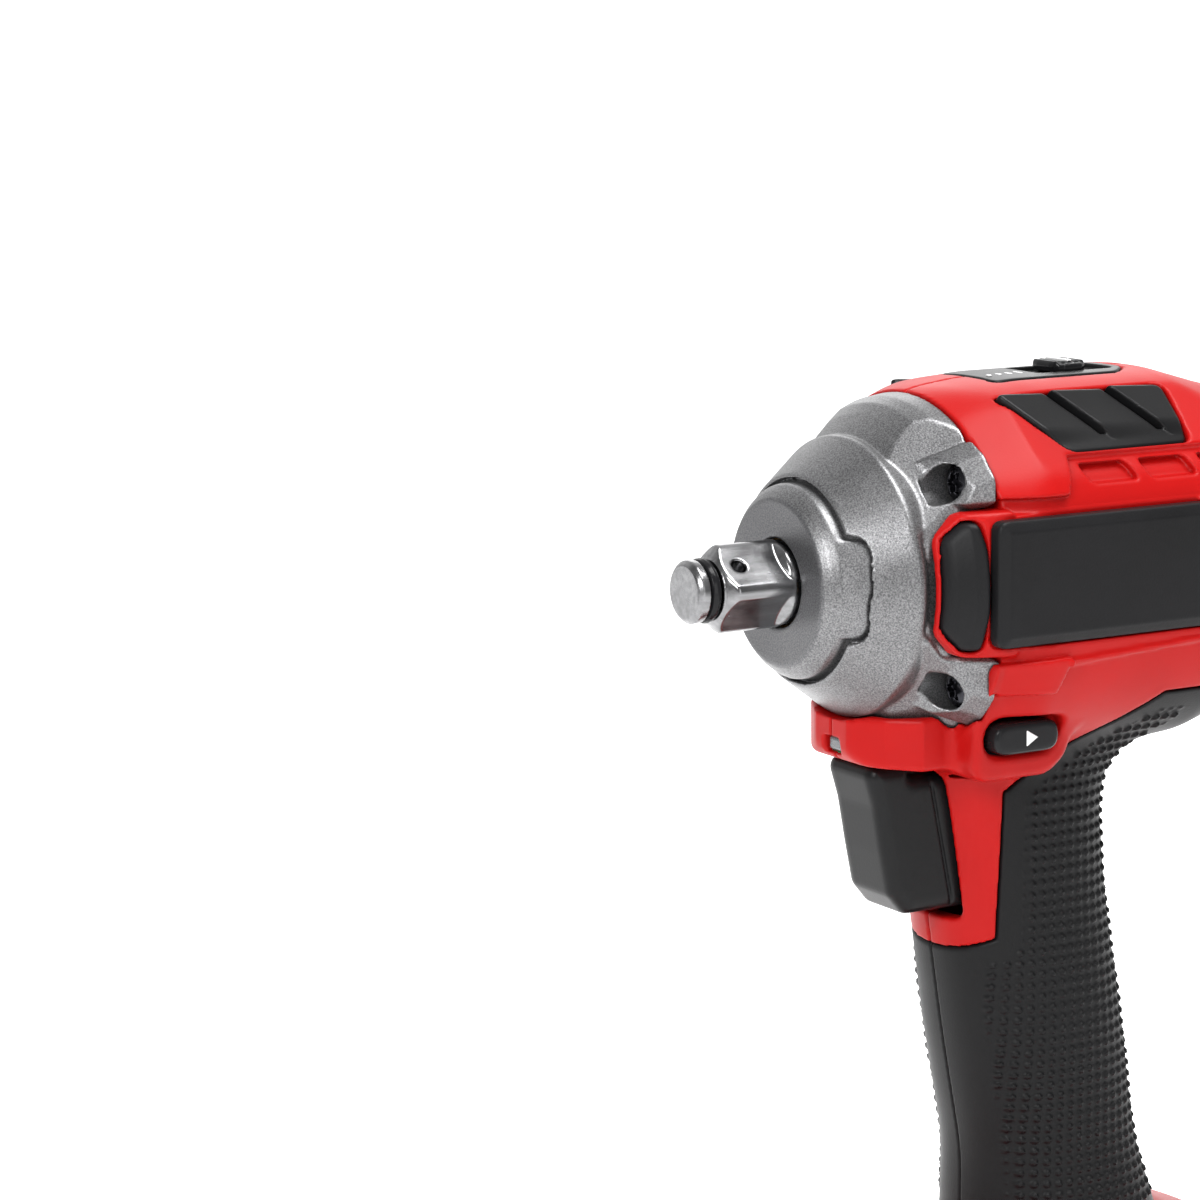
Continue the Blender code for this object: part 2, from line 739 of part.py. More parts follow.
def selector_side():
    """The full sides of the body round the two ends of the direction selector."""
    x, z = SELECTOR_X, SELECTOR_Z
    outline = rounded(
        [(x - 11.0, z + 8.0), (x + 12.0, z + 8.0), (x + 12.0, z - 5.5), (x - 9.0, z - 5.5)], 2.0, 2
    )
    half_width = SELECTOR_TIP_Y - 3.1
    return prism(outline, "Y", -half_width, half_width)


def housing_blank():
    """The whole housing, both halves in one hidden helper: barrel, ears, chin, handle and foot."""
    blank = make_helper("housing_blank", barrel(0.0, BODY_X, BODY_END))
    panel, bumper = side_outlines()
    join(blank, prism(ear_outline(0.0), "Y", -SIDE_Y, SIDE_Y))
    join(blank, chin(), selector_side())
    join(blank, handle(0.0), foot(0.0))
    cut(blank, grip_room())

    case_room = [(0, 0), (0, 19.0), (22.0, 19.0), (24.3, 20.4), (CONE_END, CONE_RADIUS + 0.8)]
    case_room += [(35.0, 27.0), (38.6, 30.2), (41.2, 32.2), (CASE_END, 33.5)]
    case_room += [
        (BODY_X - 0.1, 33.5), (BODY_X - 0.1, SPIGOT_RADIUS + GAP), (99.0, SPIGOT_RADIUS + GAP), (99.0, 0)
    ]
    behind_ears = ring(10.0, 28.6, 10.0, 46.0)
    room = make_helper("case_room", turned(case_room))
    for side in (-1, 1):
        ear = make_helper(
            f"ear_keep_{side}", prism(ear_outline(0.0), "Y", *sorted((side * 28.6, side * 60.0)))
        )
        cut(room, ear)
    cut(blank, room, behind_ears)
    cut(
        blank, barrel(BODY_WALL, 52.5, 70.0), barrel(BODY_WALL, 72.5, 97.0),
        barrel(BODY_WALL, 99.5, BODY_END + 3),
    )
    cut(blank, rod(STATOR_RADIUS + GAP, 97.0, BODY_END + 3, steps=TURN_STEPS))
    cut(
        blank,
        *[rod(SCREW_RADIUS + GAP, 40.0, SCREW_END + GAP, place_yz, 12) for place_yz in screw_places()],
    )
    cut(
        blank, handle(4.8, -30.0, -145.0),
        box((44.0, -TRIGGER_HALF_WIDTH - 0.6, -66.0), (62.0, TRIGGER_HALF_WIDTH + 0.6, -34.9)),
    )
    cut(blank, box((46.0, -26.0, -147.3), (114.0, 26.0, -142.0)))
    cut_rail_channel(blank)
    for side in (-1, 1):
        low, high = sorted((side * (SIDE_Y - PANEL_DEPTH - GAP), side * 40.0))
        cut(blank, prism(grown(panel, GAP), "Y", low, high), prism(grown(bumper, GAP), "Y", low, high))
        cut(blank, tilted_block(grown(louvre_outline(), GAP), side, 31.6, 45.0))
    cut(blank, prism(rounded(top_panel_corners(GAP), 4.0), "Z", 33.2, 40.0))
    cut(
        blank, prism(selector_outline(0.4), "Y", -40.0, 40.0),
        box((48.5, -21.5, -38.0), (65.5, 21.5, -25.0)),
    )
    cut(blank, box((CHIN_X - 4.0, -3.4, -33.5), (CHIN_X + 6.0, 3.4, -28.2)))
    return blank


def cut_rail_channel(blank):
    """The T-shaped channel that the battery slides into from the front."""
    front, back = 10.0, 112.0
    top = FOOT_Z + RAIL_HEIGHT
    cut(blank, box((front, -RAIL_HALF_WIDTH - 0.5, FOOT_Z - 2), (back, RAIL_HALF_WIDTH + 0.5, top)))
    cut(blank, box((front, -RAIL_FLANGE - 0.5, top - 4.5), (back - 0.7, RAIL_FLANGE + 0.5, top - 0.1)))


def top_panel_corners(clearance):
    front, back = TOP_PANEL_X - clearance, TOP_PANEL_END + clearance
    side = TOP_PANEL_HALF_WIDTH + clearance
    return [(front, -side), (back, -side), (back, side), (front, side)]


def grip_room():
    """What the housing gives up for the rubber grip and its clearance."""
    room = make_helper("grip_room", prism(grip_outline(GAP), "Y", -60.0, 60.0))
    core = make_helper("grip_core", barrel(GRIP_DEPTH + GAP, BODY_X - 5, BODY_END + 5))
    join(core, handle(GRIP_DEPTH + GAP, -15.0, -150.0))
    return cut(room, core)


def grip_blank():
    """Rubber over both sides and the back of the handle, before it is halved."""
    blank = make_helper("grip_blank", prism(grip_outline(0.0), "Y", -40.0, 40.0))
    shape = make_helper("handle_outside", barrel(0.0, BODY_X, BODY_END))
    join(shape, handle(0.0))
    inside = make_helper("handle_core", barrel(GRIP_DEPTH, BODY_X - 5, BODY_END + 5))
    join(inside, handle(GRIP_DEPTH, -15.0, -150.0))
    keep(blank, shape)
    cut(blank, inside)
    return blank


def build_housing(materials):
    blank = housing_blank()
    grip = grip_blank()
    for name, side in (("left", -1), ("right", 1)):
        low, high = sorted((side * SPLIT, side * HAND_SIZE))
        half = box((-HAND_SIZE, low, -HAND_SIZE * 1.5), (HAND_SIZE * 1.5, high, HAND_SIZE))
        keep(make_object(f"{name}_housing", half, materials["red"]), blank)
        half = box((-HAND_SIZE, low, -HAND_SIZE * 1.5), (HAND_SIZE * 1.5, high, HAND_SIZE))
        keep(make_object(f"{name}_grip", half, materials["rubber"]), grip)
        panel, bumper = side_outlines()
        low, high = sorted((side * (SIDE_Y - PANEL_DEPTH), side * (SIDE_Y + 0.4)))
        make_object(f"{name}_side_panel", prism(panel, "Y", low, high), materials["rubber"])
        make_object(f"{name}_nose_bumper", prism(bumper, "Y", low, high), materials["rubber"])
        build_louvre(name, side, materials)


def build_louvre(name, side, materials):
    louvre = make_object(
        f"{name}_vent_louvre", tilted_block(louvre_outline(), side, 32.0, 35.0), materials["plastic"]
    )
    bottom, top = -0.4, 8.5
    for back in LOUVRE_SLOTS:
        front = back - 1.5
        slot = [(front - LOUVRE_SLANT * bottom, bottom), (back - LOUVRE_SLANT * bottom, bottom)]
        slot += [(back - LOUVRE_SLANT * top, top), (front - LOUVRE_SLANT * top, top)]
        cut(louvre, tilted_block(slot, side, 33.2, 40.0))
    return louvre


def build_rear_cover(materials):
    """Rounded rubber-faced cap over the fan and the motor's rear bearing."""
    stations = [
        (BODY_END + GAP, 31.2, 30.9), (117.3, 29.4, 27.9), (124.0, 26.0, 24.5), (133.0, 20.7, 19.5)
    ]
    stations.append((TOOL_LENGTH, 13.0, 12.5))
    walls = []
    rooms = []
    for x, half_y, half_z in stations:
        walls.append([(x, y, z) for y, z in superellipse(half_y, half_z, BODY_POWER, TURN_STEPS)])
        rooms.append(
            [
                (x - 3.0, y, z)
                for y, z in superellipse(half_y - 2.6, half_z - 2.6, BODY_POWER, TURN_STEPS)
            ]
        )
    rooms[0] = [(BODY_END - 3, y, z) for _, y, z in rooms[0]]
    cover = make_object("rear_cover", loft(walls), materials["rubber"])
    hub = make_helper("bearing_hub", loft(rooms[:4]))
    cut(hub, rod(12.0, 125.5, 150.0, steps=24))
    cut(cover, hub, rod(9.0 + GAP, 120.0, 131.5, steps=24))
    for angle in (-0.5, 0.0, 0.5):
        for side in (-1, 1):
            vent = box((116.0, -1.2, 20.0), (123.0, 1.2, 40.0))
            vent.transform(Matrix.Rotation(side * (math.pi / 2 + angle), 4, "X"))
            cut(cover, vent)
    return cover


# Controls


def build_selector(materials):
    """Two buttons on the ends of one bar that crosses the handle above the trigger."""
    x, z, end = SELECTOR_X, SELECTOR_Z, SELECTOR_HALF_BAR
    bar = box((x - 5.5, -end, z - 6.0), (x + 5.5, end, z - 0.3))
    selector = make_object("direction_selector", bar, materials["plastic"], (x, 0.0, z))
    for side in (-1, 1):
        low, high = sorted((side * (end - 1.6), side * end))
        join(selector, box((x - 5.2, low, z - 2.0), (x + 5.2, high, z + 3.0)))
        low, high = sorted((side * (end - 1.4), side * SELECTOR_TIP_Y))
        join(selector, prism(selector_outline(0.0), "Y", low, high))
    return selector


def build_controls(materials):
    plastic = materials["plastic"]
    corners = rounded(top_panel_corners(0.0), 4.0)
    panel = make_object("top_control_panel", prism(corners, "Z", 33.5, 35.6), plastic)
    cut(panel, box((SLIDER_X - SLIDER_ROOM / 2, -5.3, 34.5), (SLIDER_X + SLIDER_ROOM / 2, 5.3, 40.0)))
    front, back = SLIDER_X - SLIDER_LENGTH / 2, SLIDER_X + SLIDER_LENGTH / 2
    knob = prism(box_outline(front, -5.0, back, 5.0, 1.2), "Z", 34.8, 37.4)
    slider = make_object("speed_slider", knob, plastic, (SLIDER_X, 0.0, 34.8))
    for shift in (-2.2, 0.0, 2.2):
        groove = SLIDER_X + shift
        cut(slider, box((groove - 0.4, -7.0, 36.8), (groove + 0.4, 7.0, 40.0)))

    build_selector(materials)

    profile = [(TRIGGER_X + 1.0, TRIGGER_TOP), (44.3, TRIGGER_TOP), (44.3, -37.6), (TRIGGER_BACK, -37.6)]
    profile.append((TRIGGER_BACK, TRIGGER_BOTTOM))
    profile += [(43.5, TRIGGER_BOTTOM), (40.0, -60.0), (38.4, -52.0), (36.8, -43.0), (TRIGGER_X, -37.0)]
    trigger = make_object(
        "trigger", prism(profile, "Y", -TRIGGER_HALF_WIDTH, TRIGGER_HALF_WIDTH), plastic,
        (TRIGGER_X, 0.0, -50.0),
    )
    join(trigger, rod(3.5, TRIGGER_BACK - 1, 60.0, (0.0, -44.0)))
    spring = coil(
        2.6, 0.4, TRIGGER_BACK + 0.8, SWITCH_X - 0.8, 4.5, centre=Vector((0, 0, -56.0)), steps=8, sides=4
    )
    make_object("trigger_spring", spring, materials["steel"])
    switch = make_object("trigger_switch", box((SWITCH_X, -8.5, -64.0), (79.5, 8.5, -38.5)), plastic)
    cut(switch, rod(4.0, SWITCH_X - 1, 70.0, (0.0, -44.0)))

    lens = prism(
        rounded([(-2.9, -33.0), (2.9, -33.0), (2.9, -29.6), (-2.9, -29.6)], 1.0, 2), "X", CHIN_X + 0.4,
        CHIN_X + 3.6,
    )
    make_object("led_lens", lens, materials["lens"])
    make_object(
        "led_board", box((CHIN_X + 4.0, -3.0, -33.2), (CHIN_X + 5.1, 3.0, -30.0)), materials["board"]
    )
    make_object(
        "controller_board", box((48.0, -24.0, -146.5), (112.0, 24.0, -143.3)), materials["board"]
    )
    make_object(
        "battery_terminals", box((100.0, -15.0, FOOT_Z + 2.0), (111.0, 15.0, FOOT_Z + 7.0)), plastic
    )


# Battery


def pack_outline(inset):
    return box_outline(
        PACK_X + inset, -PACK_HALF_WIDTH + inset, PACK_X + PACK_LENGTH - inset, PACK_HALF_WIDTH - inset,
        7.0 - inset * 0.5, 4,
    )


def build_battery(materials):
    plastic = materials["plastic"]
    tapered = []
    for z, inset in ((PACK_TOP, 3.0), (PACK_TOP - 4.0, 0.6), (PACK_SEAM + SPLIT, 0.0)):
        tapered.append([(x, y, z) for x, y in pack_outline(inset)])
    top = make_object("battery_top_case", loft(tapered), plastic)
    join(
        top,
        box((24.0, -RAIL_HALF_WIDTH, PACK_TOP - 1), (111.0, RAIL_HALF_WIDTH, PACK_TOP + RAIL_HEIGHT)),
    )
    join(
        top,
        box(
            (24.0, -RAIL_FLANGE, FOOT_Z + RAIL_HEIGHT - 4.0),
            (111.0, RAIL_FLANGE, PACK_TOP + RAIL_HEIGHT),
        ),
    )
    cut(top, prism(pack_outline(3.0), "Z", PACK_SEAM - 2, PACK_TOP - 3.0))
    cut(top, box((98.0, -16.0, FOOT_Z - 0.5), (116.0, 16.0, FOOT_Z + RAIL_HEIGHT + 2)))
    cut(top, box((15.0, -15.5, -172.0), (25.5, 15.5, -154.0)))

    walls = []
    for z, inset in ((PACK_SEAM - SPLIT, 0.0), (PACK_BOTTOM + 2.5, 0.4), (PACK_BOTTOM, 3.0)):
        walls.append([(x, y, z) for x, y in pack_outline(inset)])
    bottom = make_object("battery_bottom_case", loft(walls), plastic)
    cut(bottom, prism(pack_outline(2.4), "Z", PACK_BOTTOM + 2.4, PACK_SEAM + 2))

    for index in range(5):
        x = PACK_X + PACK_LENGTH / 2 + (index - 2) * CELL_PITCH
        cell = prism(circle(CELL_RADIUS, 20, (x, CELL_Z)), "Y", -CELL_HALF_LENGTH, CELL_HALF_LENGTH)
        make_object(f"battery_cell_{index + 1}", cell, materials["cell"], (x, 0.0, CELL_Z))
    board = box((30.0, -28.0, -176.0), (122.0, 28.0, -174.4))
    make_object("battery_board", board, materials["board"])

    latch = make_object(
        "release_latch", box((20.6, -15.0, -169.0), (25.0, 15.0, -155.0)), materials["red"],
        (23.0, 0.0, -163.0),
    )
    cut(latch, box((10.0, -10.0, -166.5), (21.6, 10.0, -158.5)))
    return latch


def main():
    clear_scene()
    materials = {
        "red": make_material("red_plastic", (0.62, 0.012, 0.018), 0.42),
        "rubber": make_material("black_rubber", (0.022, 0.022, 0.024), 0.62),
        "plastic": make_material("black_plastic", (0.018, 0.018, 0.020), 0.45),
        "cast": make_material("cast_alloy", (0.42, 0.42, 0.43), 0.5, 1.0),
        "steel": make_material("bright_steel", (0.55, 0.55, 0.56), 0.3, 1.0),
        "dark_steel": make_material("dark_steel", (0.22, 0.22, 0.23), 0.32, 1.0),
        "black_steel": make_material("black_steel", (0.03, 0.03, 0.035), 0.4, 1.0),
        "aluminium": make_material("aluminium", (0.6, 0.6, 0.61), 0.4, 1.0),
        "bronze": make_material("bronze", (0.5, 0.33, 0.14), 0.4, 1.0),
        "copper": make_material("copper", (0.55, 0.24, 0.12), 0.4, 1.0),
        "lens": make_material("clear_lens", (0.85, 0.87, 0.9), 0.1),
        "board": make_material("circuit_board", (0.02, 0.12, 0.05), 0.5),
        "cell": make_material("cell_wrap", (0.05, 0.2, 0.45), 0.35),
    }
    build_drive(materials)
    build_motor(materials)
    build_hammer_case(materials)
    build_case_screws(materials)
    build_housing(materials)
    build_rear_cover(materials)
    build_controls(materials)
    build_battery(materials)


main()
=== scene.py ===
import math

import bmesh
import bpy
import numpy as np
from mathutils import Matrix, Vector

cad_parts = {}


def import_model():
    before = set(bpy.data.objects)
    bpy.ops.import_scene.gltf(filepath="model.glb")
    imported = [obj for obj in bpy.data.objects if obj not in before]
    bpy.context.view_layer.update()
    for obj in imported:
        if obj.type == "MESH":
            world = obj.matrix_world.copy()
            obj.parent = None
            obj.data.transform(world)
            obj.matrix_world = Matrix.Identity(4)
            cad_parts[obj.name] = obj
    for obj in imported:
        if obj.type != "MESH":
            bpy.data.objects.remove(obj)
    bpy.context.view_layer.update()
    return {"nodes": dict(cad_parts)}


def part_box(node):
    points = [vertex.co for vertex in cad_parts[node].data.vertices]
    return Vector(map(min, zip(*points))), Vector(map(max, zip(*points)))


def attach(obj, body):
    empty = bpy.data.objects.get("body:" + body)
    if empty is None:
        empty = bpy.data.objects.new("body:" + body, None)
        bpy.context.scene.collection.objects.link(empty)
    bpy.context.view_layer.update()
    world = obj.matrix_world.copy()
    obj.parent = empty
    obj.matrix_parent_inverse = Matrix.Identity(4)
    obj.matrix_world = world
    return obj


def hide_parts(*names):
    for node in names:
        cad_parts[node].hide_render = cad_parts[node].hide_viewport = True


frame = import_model()

# Looks of the cordless impact wrench.
#
# Every visible casing is a distance field sampled on a grid and turned into a mesh, so that its steps,
# grooves and rounded edges are real shapes. Fields are in millimetres in the tool's frame: X runs backwards
# along the drive axis from the tip of the square, -Y is the left side and +Z is up. Profiles are
# (x, radius) corners, and stations are rows of a place and the sizes there.

import openvdb
from mathutils import Matrix, Vector

MM = 0.001
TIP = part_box("anvil")[0].x
SHAFT_LOW, SHAFT_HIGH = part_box("rotor_core")
AXIS_Z = (SHAFT_LOW.z + SHAFT_HIGH.z) / 2
COARSE = 1.0
PAST_AXIS = -1.0
DIAGONAL = 0.7071

# Camera, in the tool's frame
CAMERA_AZIMUTH = math.radians(-29.9)
CAMERA_ELEVATION = math.radians(9.4)
CAMERA_ROLL = math.radians(0.7)
CAMERA_OFFSET = (15.0, 1.3, -644.1)
CAMERA_LENS = 108.0
SENSOR = 36.0

# Studio: a bright backdrop behind the tool, and a darker room in front of it
BACKDROP_LIGHT = 1.12
ROOM_LIGHT = 0.30
FLOOR_GLOW = 0.86
FLOOR_SHADE = 0.25
FLOOR_HALF = 30.0
FLOOR_DROP = 0.0003
BACKWARDS = (0.5, 0.866, 0.0)
LIT_POINT = (0.0, 0.0, 0.17)
LIGHTS = (  # name, place, width, height, power
    ("key", (-1.0, -0.6, 0.8), 0.45, 0.45, 11.0),
    ("front", (-0.2, -1.4, 0.55), 0.5, 0.9, 3.0),
    ("top", (0.2, -0.35, 1.4), 0.7, 0.7, 20.0),
    ("back", (0.8, 1.3, 0.9), 0.9, 0.9, 3.0),
)

# Materials
PLASTIC_SHEEN = 0.16
WHITE = (1.0, 1.0, 1.0)

# Gaps between the halves of the housing, round the outline of a piece let into it, and under it
SEAM = 0.07
JOINT = 0.28
FLOOR_GAP = 0.2

# Square drive, with its friction ring in front and the hammer's two arms behind
SQUARE_HALF = 6.35
SQUARE_CORNER = 8.05
SQUARE_TURN = math.radians(43.0)
SQUARE_FRONT = 5.2
SQUARE_BACK = 19.0
SQUARE_RUN_OUT = 14.2
DRIVE_BORE = 4.3
DRIVE_BORE_FRONT = 36.5
CROSS_HOLE_X = 9.0
CROSS_HOLE = 1.4
CROSS_HOLE_DEPTH = 3.0
ARM_FRONT = 38.1
ARM_BACK = 46.5
ARM_REACH = 20.8
ARM_HALF = 6.0

# Hammer case: its front disc, the step behind it, the flats, the screw lobes and their screws
DISC_BACK = 19.75
DISC_RADIUS = 16.0
STEP_RADIUS = 18.7
STEP_SIDE = 12.0
STEP_BACK = 30.0
GROOVE_HALF = 0.42
GROOVE_DEPTH = 0.65
GROOVE_BACK = 29.0
FACET_X = 35.0
FACET_DEPTH = 24.4
FACET_SLOPE = 0.58
LOBE_ANGLE = math.radians(41.0)
LOBE_FRONT = 36.0
LOBE_TAPER = 0.6
LOBE_TAPER_X = 47.4
PAD_X = 39.1
PAD_MIDDLE = 25.3
PAD_SLOPE = 0.6
PAD_LEAN = 0.14
CASE_BACK = 47.8
SPIGOT_INNER = 24.0
SPIGOT_OUTER = 26.0
SPIGOT_FRONT = 44.0
SPIGOT_BACK = 86.0
SCREW_Y = 21.5
SCREW_Z = 18.7
SCREW_WELL = 3.6
SCREW_WELL_FRONT = 38.4
SCREW_WELL_BACK = 46.4
SCREW_SHANK = 2.0
SCREW_BORE = 2.3
SCREW_HEAD = 3.2
SCREW_DOME = 6.25
SCREW_DOME_X = 49.6

# Barrel of the housing, and the flat shoulders along its top
SHOULDER_ANGLE = math.radians(47.5)
BODY_FRONT = 47.6
BODY_BACK = 112.0
BODY_POWER = 2.5
EAR_DEPTH = 24.9
RING_ROOM = 24.7
CASE_ROOM = 26.3
CASE_ROOM_BACK = 99.0
RAIL_HALF = 21.5
FLANGE_HALF = 26.5
SELECTOR_ROOM = 21.5

# How deep each piece let into the housing reaches
PANEL_FLOOR = 31.8
BUMPER_FLOOR = 26.3
LOUVRE_FLOOR = 33.0
TOP_FLOOR = 33.2
GRIP_DEPTH = 2.0

# Reliefs on the side, and how far in they may reach
VALLEY_DEPTH = 1.5
RIDGE_HEIGHT = 1.5
RIB_HEIGHT = 0.5
SIDE_DEPTH = 20.0
POCKETS_X = (66.3, 79.9, 93.5)
HOUSING_SCREWS = (
    (55.0, -19.0), (102.0, 26.0), (104.0, -12.0), (56.5, -50.0), (70.0, -108.0), (40.0, -146.0),
    (118.0, -147.0),
)
HOUSING_SCREW_SINK = 2.0

# Fins of the louvre, which rise towards the front, with a slot between them
LOUVRE_LEAN = 0.68
LOUVRE_EDGES = (62.6, 75.4, 88.6)
LOUVRE_END = 101.0
LOUVRE_SKIN = 35.3
FIN_HEIGHT = 1.25
FIN_FALL = 1.05
FIN_SLOT = 1.5

# Grip
STUD_PITCH = 3.1
STUD_HEIGHT = 0.55

# Rear cover
COVER_FRONT = 112.3
COVER_BACK = 140.0
COVER_WALL = 2.6
VENTS_Z = (-8.0, -4.0, 0.0, 4.0, 8.0)
VENT_HALF = 0.9

# Controls
SLIDER_TOP = 36.6
SLIDER_BOTTOM = 34.8
SLIDER_X = 83.0
SLIDER_RIDGE = 1.5
SELECTOR_END = 26.6
SELECTOR_STEP = 18.0
SELECTOR_INNER = 16.4
TRIGGER_HALF = 8.0
MARK_TOP = 35.58
TICK_X = 63.6
TICK_SPACING = 2.4
TICK_WIDTH = 0.7
TICK_Y = -4.5

# Battery
PACK_FRONT = 20.0
PACK_BACK = 134.0
PACK_HALF = 37.3
PACK_CORNER = 9.0
PACK_TOP = -158.4
PACK_JOINT = -174.0
PACK_BOTTOM = -204.0
PACK_GROOVES = (-181.0, -186.0, -191.0)
LATCH_HALF = 15.0


def world(x, y, z):
    """World metres of a place in the tool's frame."""
    return Vector((TIP + x * MM, y * MM, AXIS_Z + z * MM))


# Distance fields


class Space:
    """A box of sample points; x, y and z broadcast against each other."""

    def __init__(self, low, high, step):
        step *= COARSE
        self.step = step
        self.low = np.array(low, np.float32) - 2.0 * step
        counts = np.ceil((np.array(high) + 2.0 * step - self.low) / step).astype(int) + 1
        axes = [self.low[i] + step * np.arange(counts[i], dtype=np.float32) for i in range(3)]
        self.x = axes[0][:, None, None]
        self.y = axes[1][None, :, None]
        self.z = axes[2][None, None, :]

    def mesh(self, name, field):
        """The surface where the field is zero, as a mesh in world metres."""
        limit = 3.0 * self.step
        shape = (self.x.size, self.y.size, self.z.size)
        values = np.array(np.broadcast_to(np.clip(field, -limit, limit), shape), np.float32, order="C")
        grid = openvdb.FloatGrid(background=limit)
        grid.copyFromArray(values)
        points, triangles, quads = grid.convertToPolygons(isovalue=0.0, adaptivity=0.0)
        points = points * self.step + self.low
        points = points * MM + np.array([TIP, 0.0, AXIS_Z])
        faces = [tuple(face) for face in triangles.tolist()] + [tuple(face) for face in quads.tolist()]
        mesh = bpy.data.meshes.new(name)
        mesh.from_pydata(points.tolist(), [], faces)
        bm = bmesh.new()
        bm.from_mesh(mesh)
        bmesh.ops.remove_doubles(bm, verts=bm.verts, dist=1e-7)
        if bm.calc_volume(signed=True) < 0:
            bmesh.ops.reverse_faces(bm, faces=bm.faces)
        bm.to_mesh(mesh)
        bm.free()
        mesh.shade_smooth()
        return mesh


def crossing(a, b, blend=0.0):
    """The part in both fields, with its edge rounded over about the blend's length."""
    if blend <= 0.0:
        return np.maximum(a, b)
    overlap = np.maximum(blend - np.abs(a - b), 0.0) / blend
    return np.maximum(a, b) + overlap * overlap * blend * 0.25


def union(a, b, blend=0.0):
    """Both fields together, with a fillet of about the blend's length."""
    return -crossing(-a, -b, blend)


def both(a, b):
    """The part in both fields, with a sharp edge."""
    return np.maximum(a, b)


def either(a, b):
    """Both fields together, with a sharp corner."""
    return np.minimum(a, b)


def without(a, b, blend=0.0):
    """The first field less the second."""
    return crossing(a, -b, blend)


def chamfered(a, b, width):
    """The part in both fields, with a flat chamfer along the edge between them."""
    return np.maximum(np.maximum(a, b), (a + b + width) * DIAGONAL)


def polygon(corners, u, v):
    """Exact distance to a closed outline, negative inside."""
    u, v = np.broadcast_arrays(u, v)
    nearest = np.full(u.shape, 1e9, np.float32)
    sign = np.ones(u.shape, np.float32)
    for (ax, ay), (bx, by) in zip(corners, corners[-1:] + corners[:-1]):
        ex, ey = bx - ax, by - ay
        wx, wy = u - ax, v - ay
        share = np.clip((wx * ex + wy * ey) / (ex * ex + ey * ey), 0.0, 1.0)
        nearest = np.minimum(nearest, (wx - ex * share) ** 2 + (wy - ey * share) ** 2)
        above, over, left = v >= ay, v < by, ex * wy > ey * wx
        flip = (above & over & left) | (~above & ~over & ~left)
        sign = np.where(flip, -sign, sign)
    return sign * np.sqrt(nearest)


def turned(profile, x, radius):
    """A solid turned about the drive axis, read from a table of its profile."""
    rows = 420
    table_r = np.linspace(0.0, float(radius.max()) + 0.5, rows, dtype=np.float32)
    table = polygon(profile, x.reshape(-1, 1), table_r[None, :])
    place = radius / table_r[1]
    cell = np.minimum(place.astype(int), rows - 2)
    share = (place - cell).astype(np.float32)
    cell, share = cell[0], share[0]
    return table[:, cell] * (1.0 - share) + table[:, cell + 1] * share


def from_axis(s):
    """Distance from the drive axis."""
    return np.sqrt(s.y**2 + s.z**2)


def slab(value, low, high):
    """Between two planes."""
    return np.maximum(low - value, value - high)


def ramp(value, low, high):
    """0 below low, 1 above high, and a smooth rise between."""
    t = np.clip((value - low) / (high - low), 0.0, 1.0)
    return t * t * (3.0 - 2.0 * t)


def between(stations, value):
    """A size read from (place, size) stations, in straight lines between them."""
    places, sizes = zip(*stations)
    return np.interp(value, places, sizes).astype(np.float32)


def ball(x, y, z, centre, radius):
    return np.sqrt((x - centre[0]) ** 2 + (y - centre[1]) ** 2 + (z - centre[2]) ** 2) - radius


def bar(u, v, centre, radius):
    """A round bar along the third axis."""
    return np.sqrt((u - centre[0]) ** 2 + (v - centre[1]) ** 2) - radius


def block(s, low, high, radius=0.0):
    """A box with rounded edges."""
    sides = [slab(value, a + radius, b - radius) for value, a, b in zip((s.x, s.y, s.z), low, high)]
    inside = np.minimum(np.maximum(np.maximum(sides[0], sides[1]), sides[2]), 0.0)
    outside = np.sqrt(sum(np.maximum(value, 0.0) ** 2 for value in sides))
    return inside + outside - radius


def star(u, v, radius, wave):
    """A six-pointed screw recess."""
    angle = np.arctan2(v, u)
    return (np.sqrt(u**2 + v**2) - radius - wave * np.cos(6 * angle)) * 0.85


def rectangle(low, high):
    """Corners of an upright rectangle."""
    return [(low[0], low[1]), (high[0], low[1]), (high[0], high[1]), (low[0], high[1])]


def rounded(corners, radius, steps=4):
    """An outline with each corner turned into a curve that starts radius from it."""
    points = []
    for i, corner in enumerate(corners):
        corner = Vector(corner)
        before = Vector(corners[i - 1]) - corner
        after = Vector(corners[(i + 1) % len(corners)]) - corner
        start = corner + before.normalized() * min(radius, before.length / 2.2)
        end = corner + after.normalized() * min(radius, after.length / 2.2)
        for k in range(steps + 1):
            t = k / steps
            points.append(tuple((1 - t) ** 2 * start + 2 * t * (1 - t) * corner + t * t * end))
    return points


def core(points):
    """Closes a profile past the axis, so that the turned solid has no hole."""
    return [(points[0][0], PAST_AXIS), *points, (points[-1][0], PAST_AXIS)]


def smooth_rows(stations, value, width):
    """Half sizes between stations, with the bends between them smoothed over the width."""
    samples = 9
    stations = sorted(stations)
    keys = [row[0] for row in stations]
    columns = []
    for column in range(1, len(stations[0])):
        sizes = [row[column] for row in stations]
        shifts = np.linspace(-width / 2, width / 2, samples)
        columns.append(sum(np.interp(value + shift, keys, sizes) for shift in shifts) / samples)
    return [column.astype(np.float32) for column in columns]


def oval(u, v, half_u, half_v, power):
    """Near distance to a superellipse."""
    ratio = (np.abs(u / half_u) ** power + np.abs(v / half_v) ** power) ** (1.0 / power)
    return (ratio - 1.0) * np.minimum(half_u, half_v)


# Outlines, profiles and stations

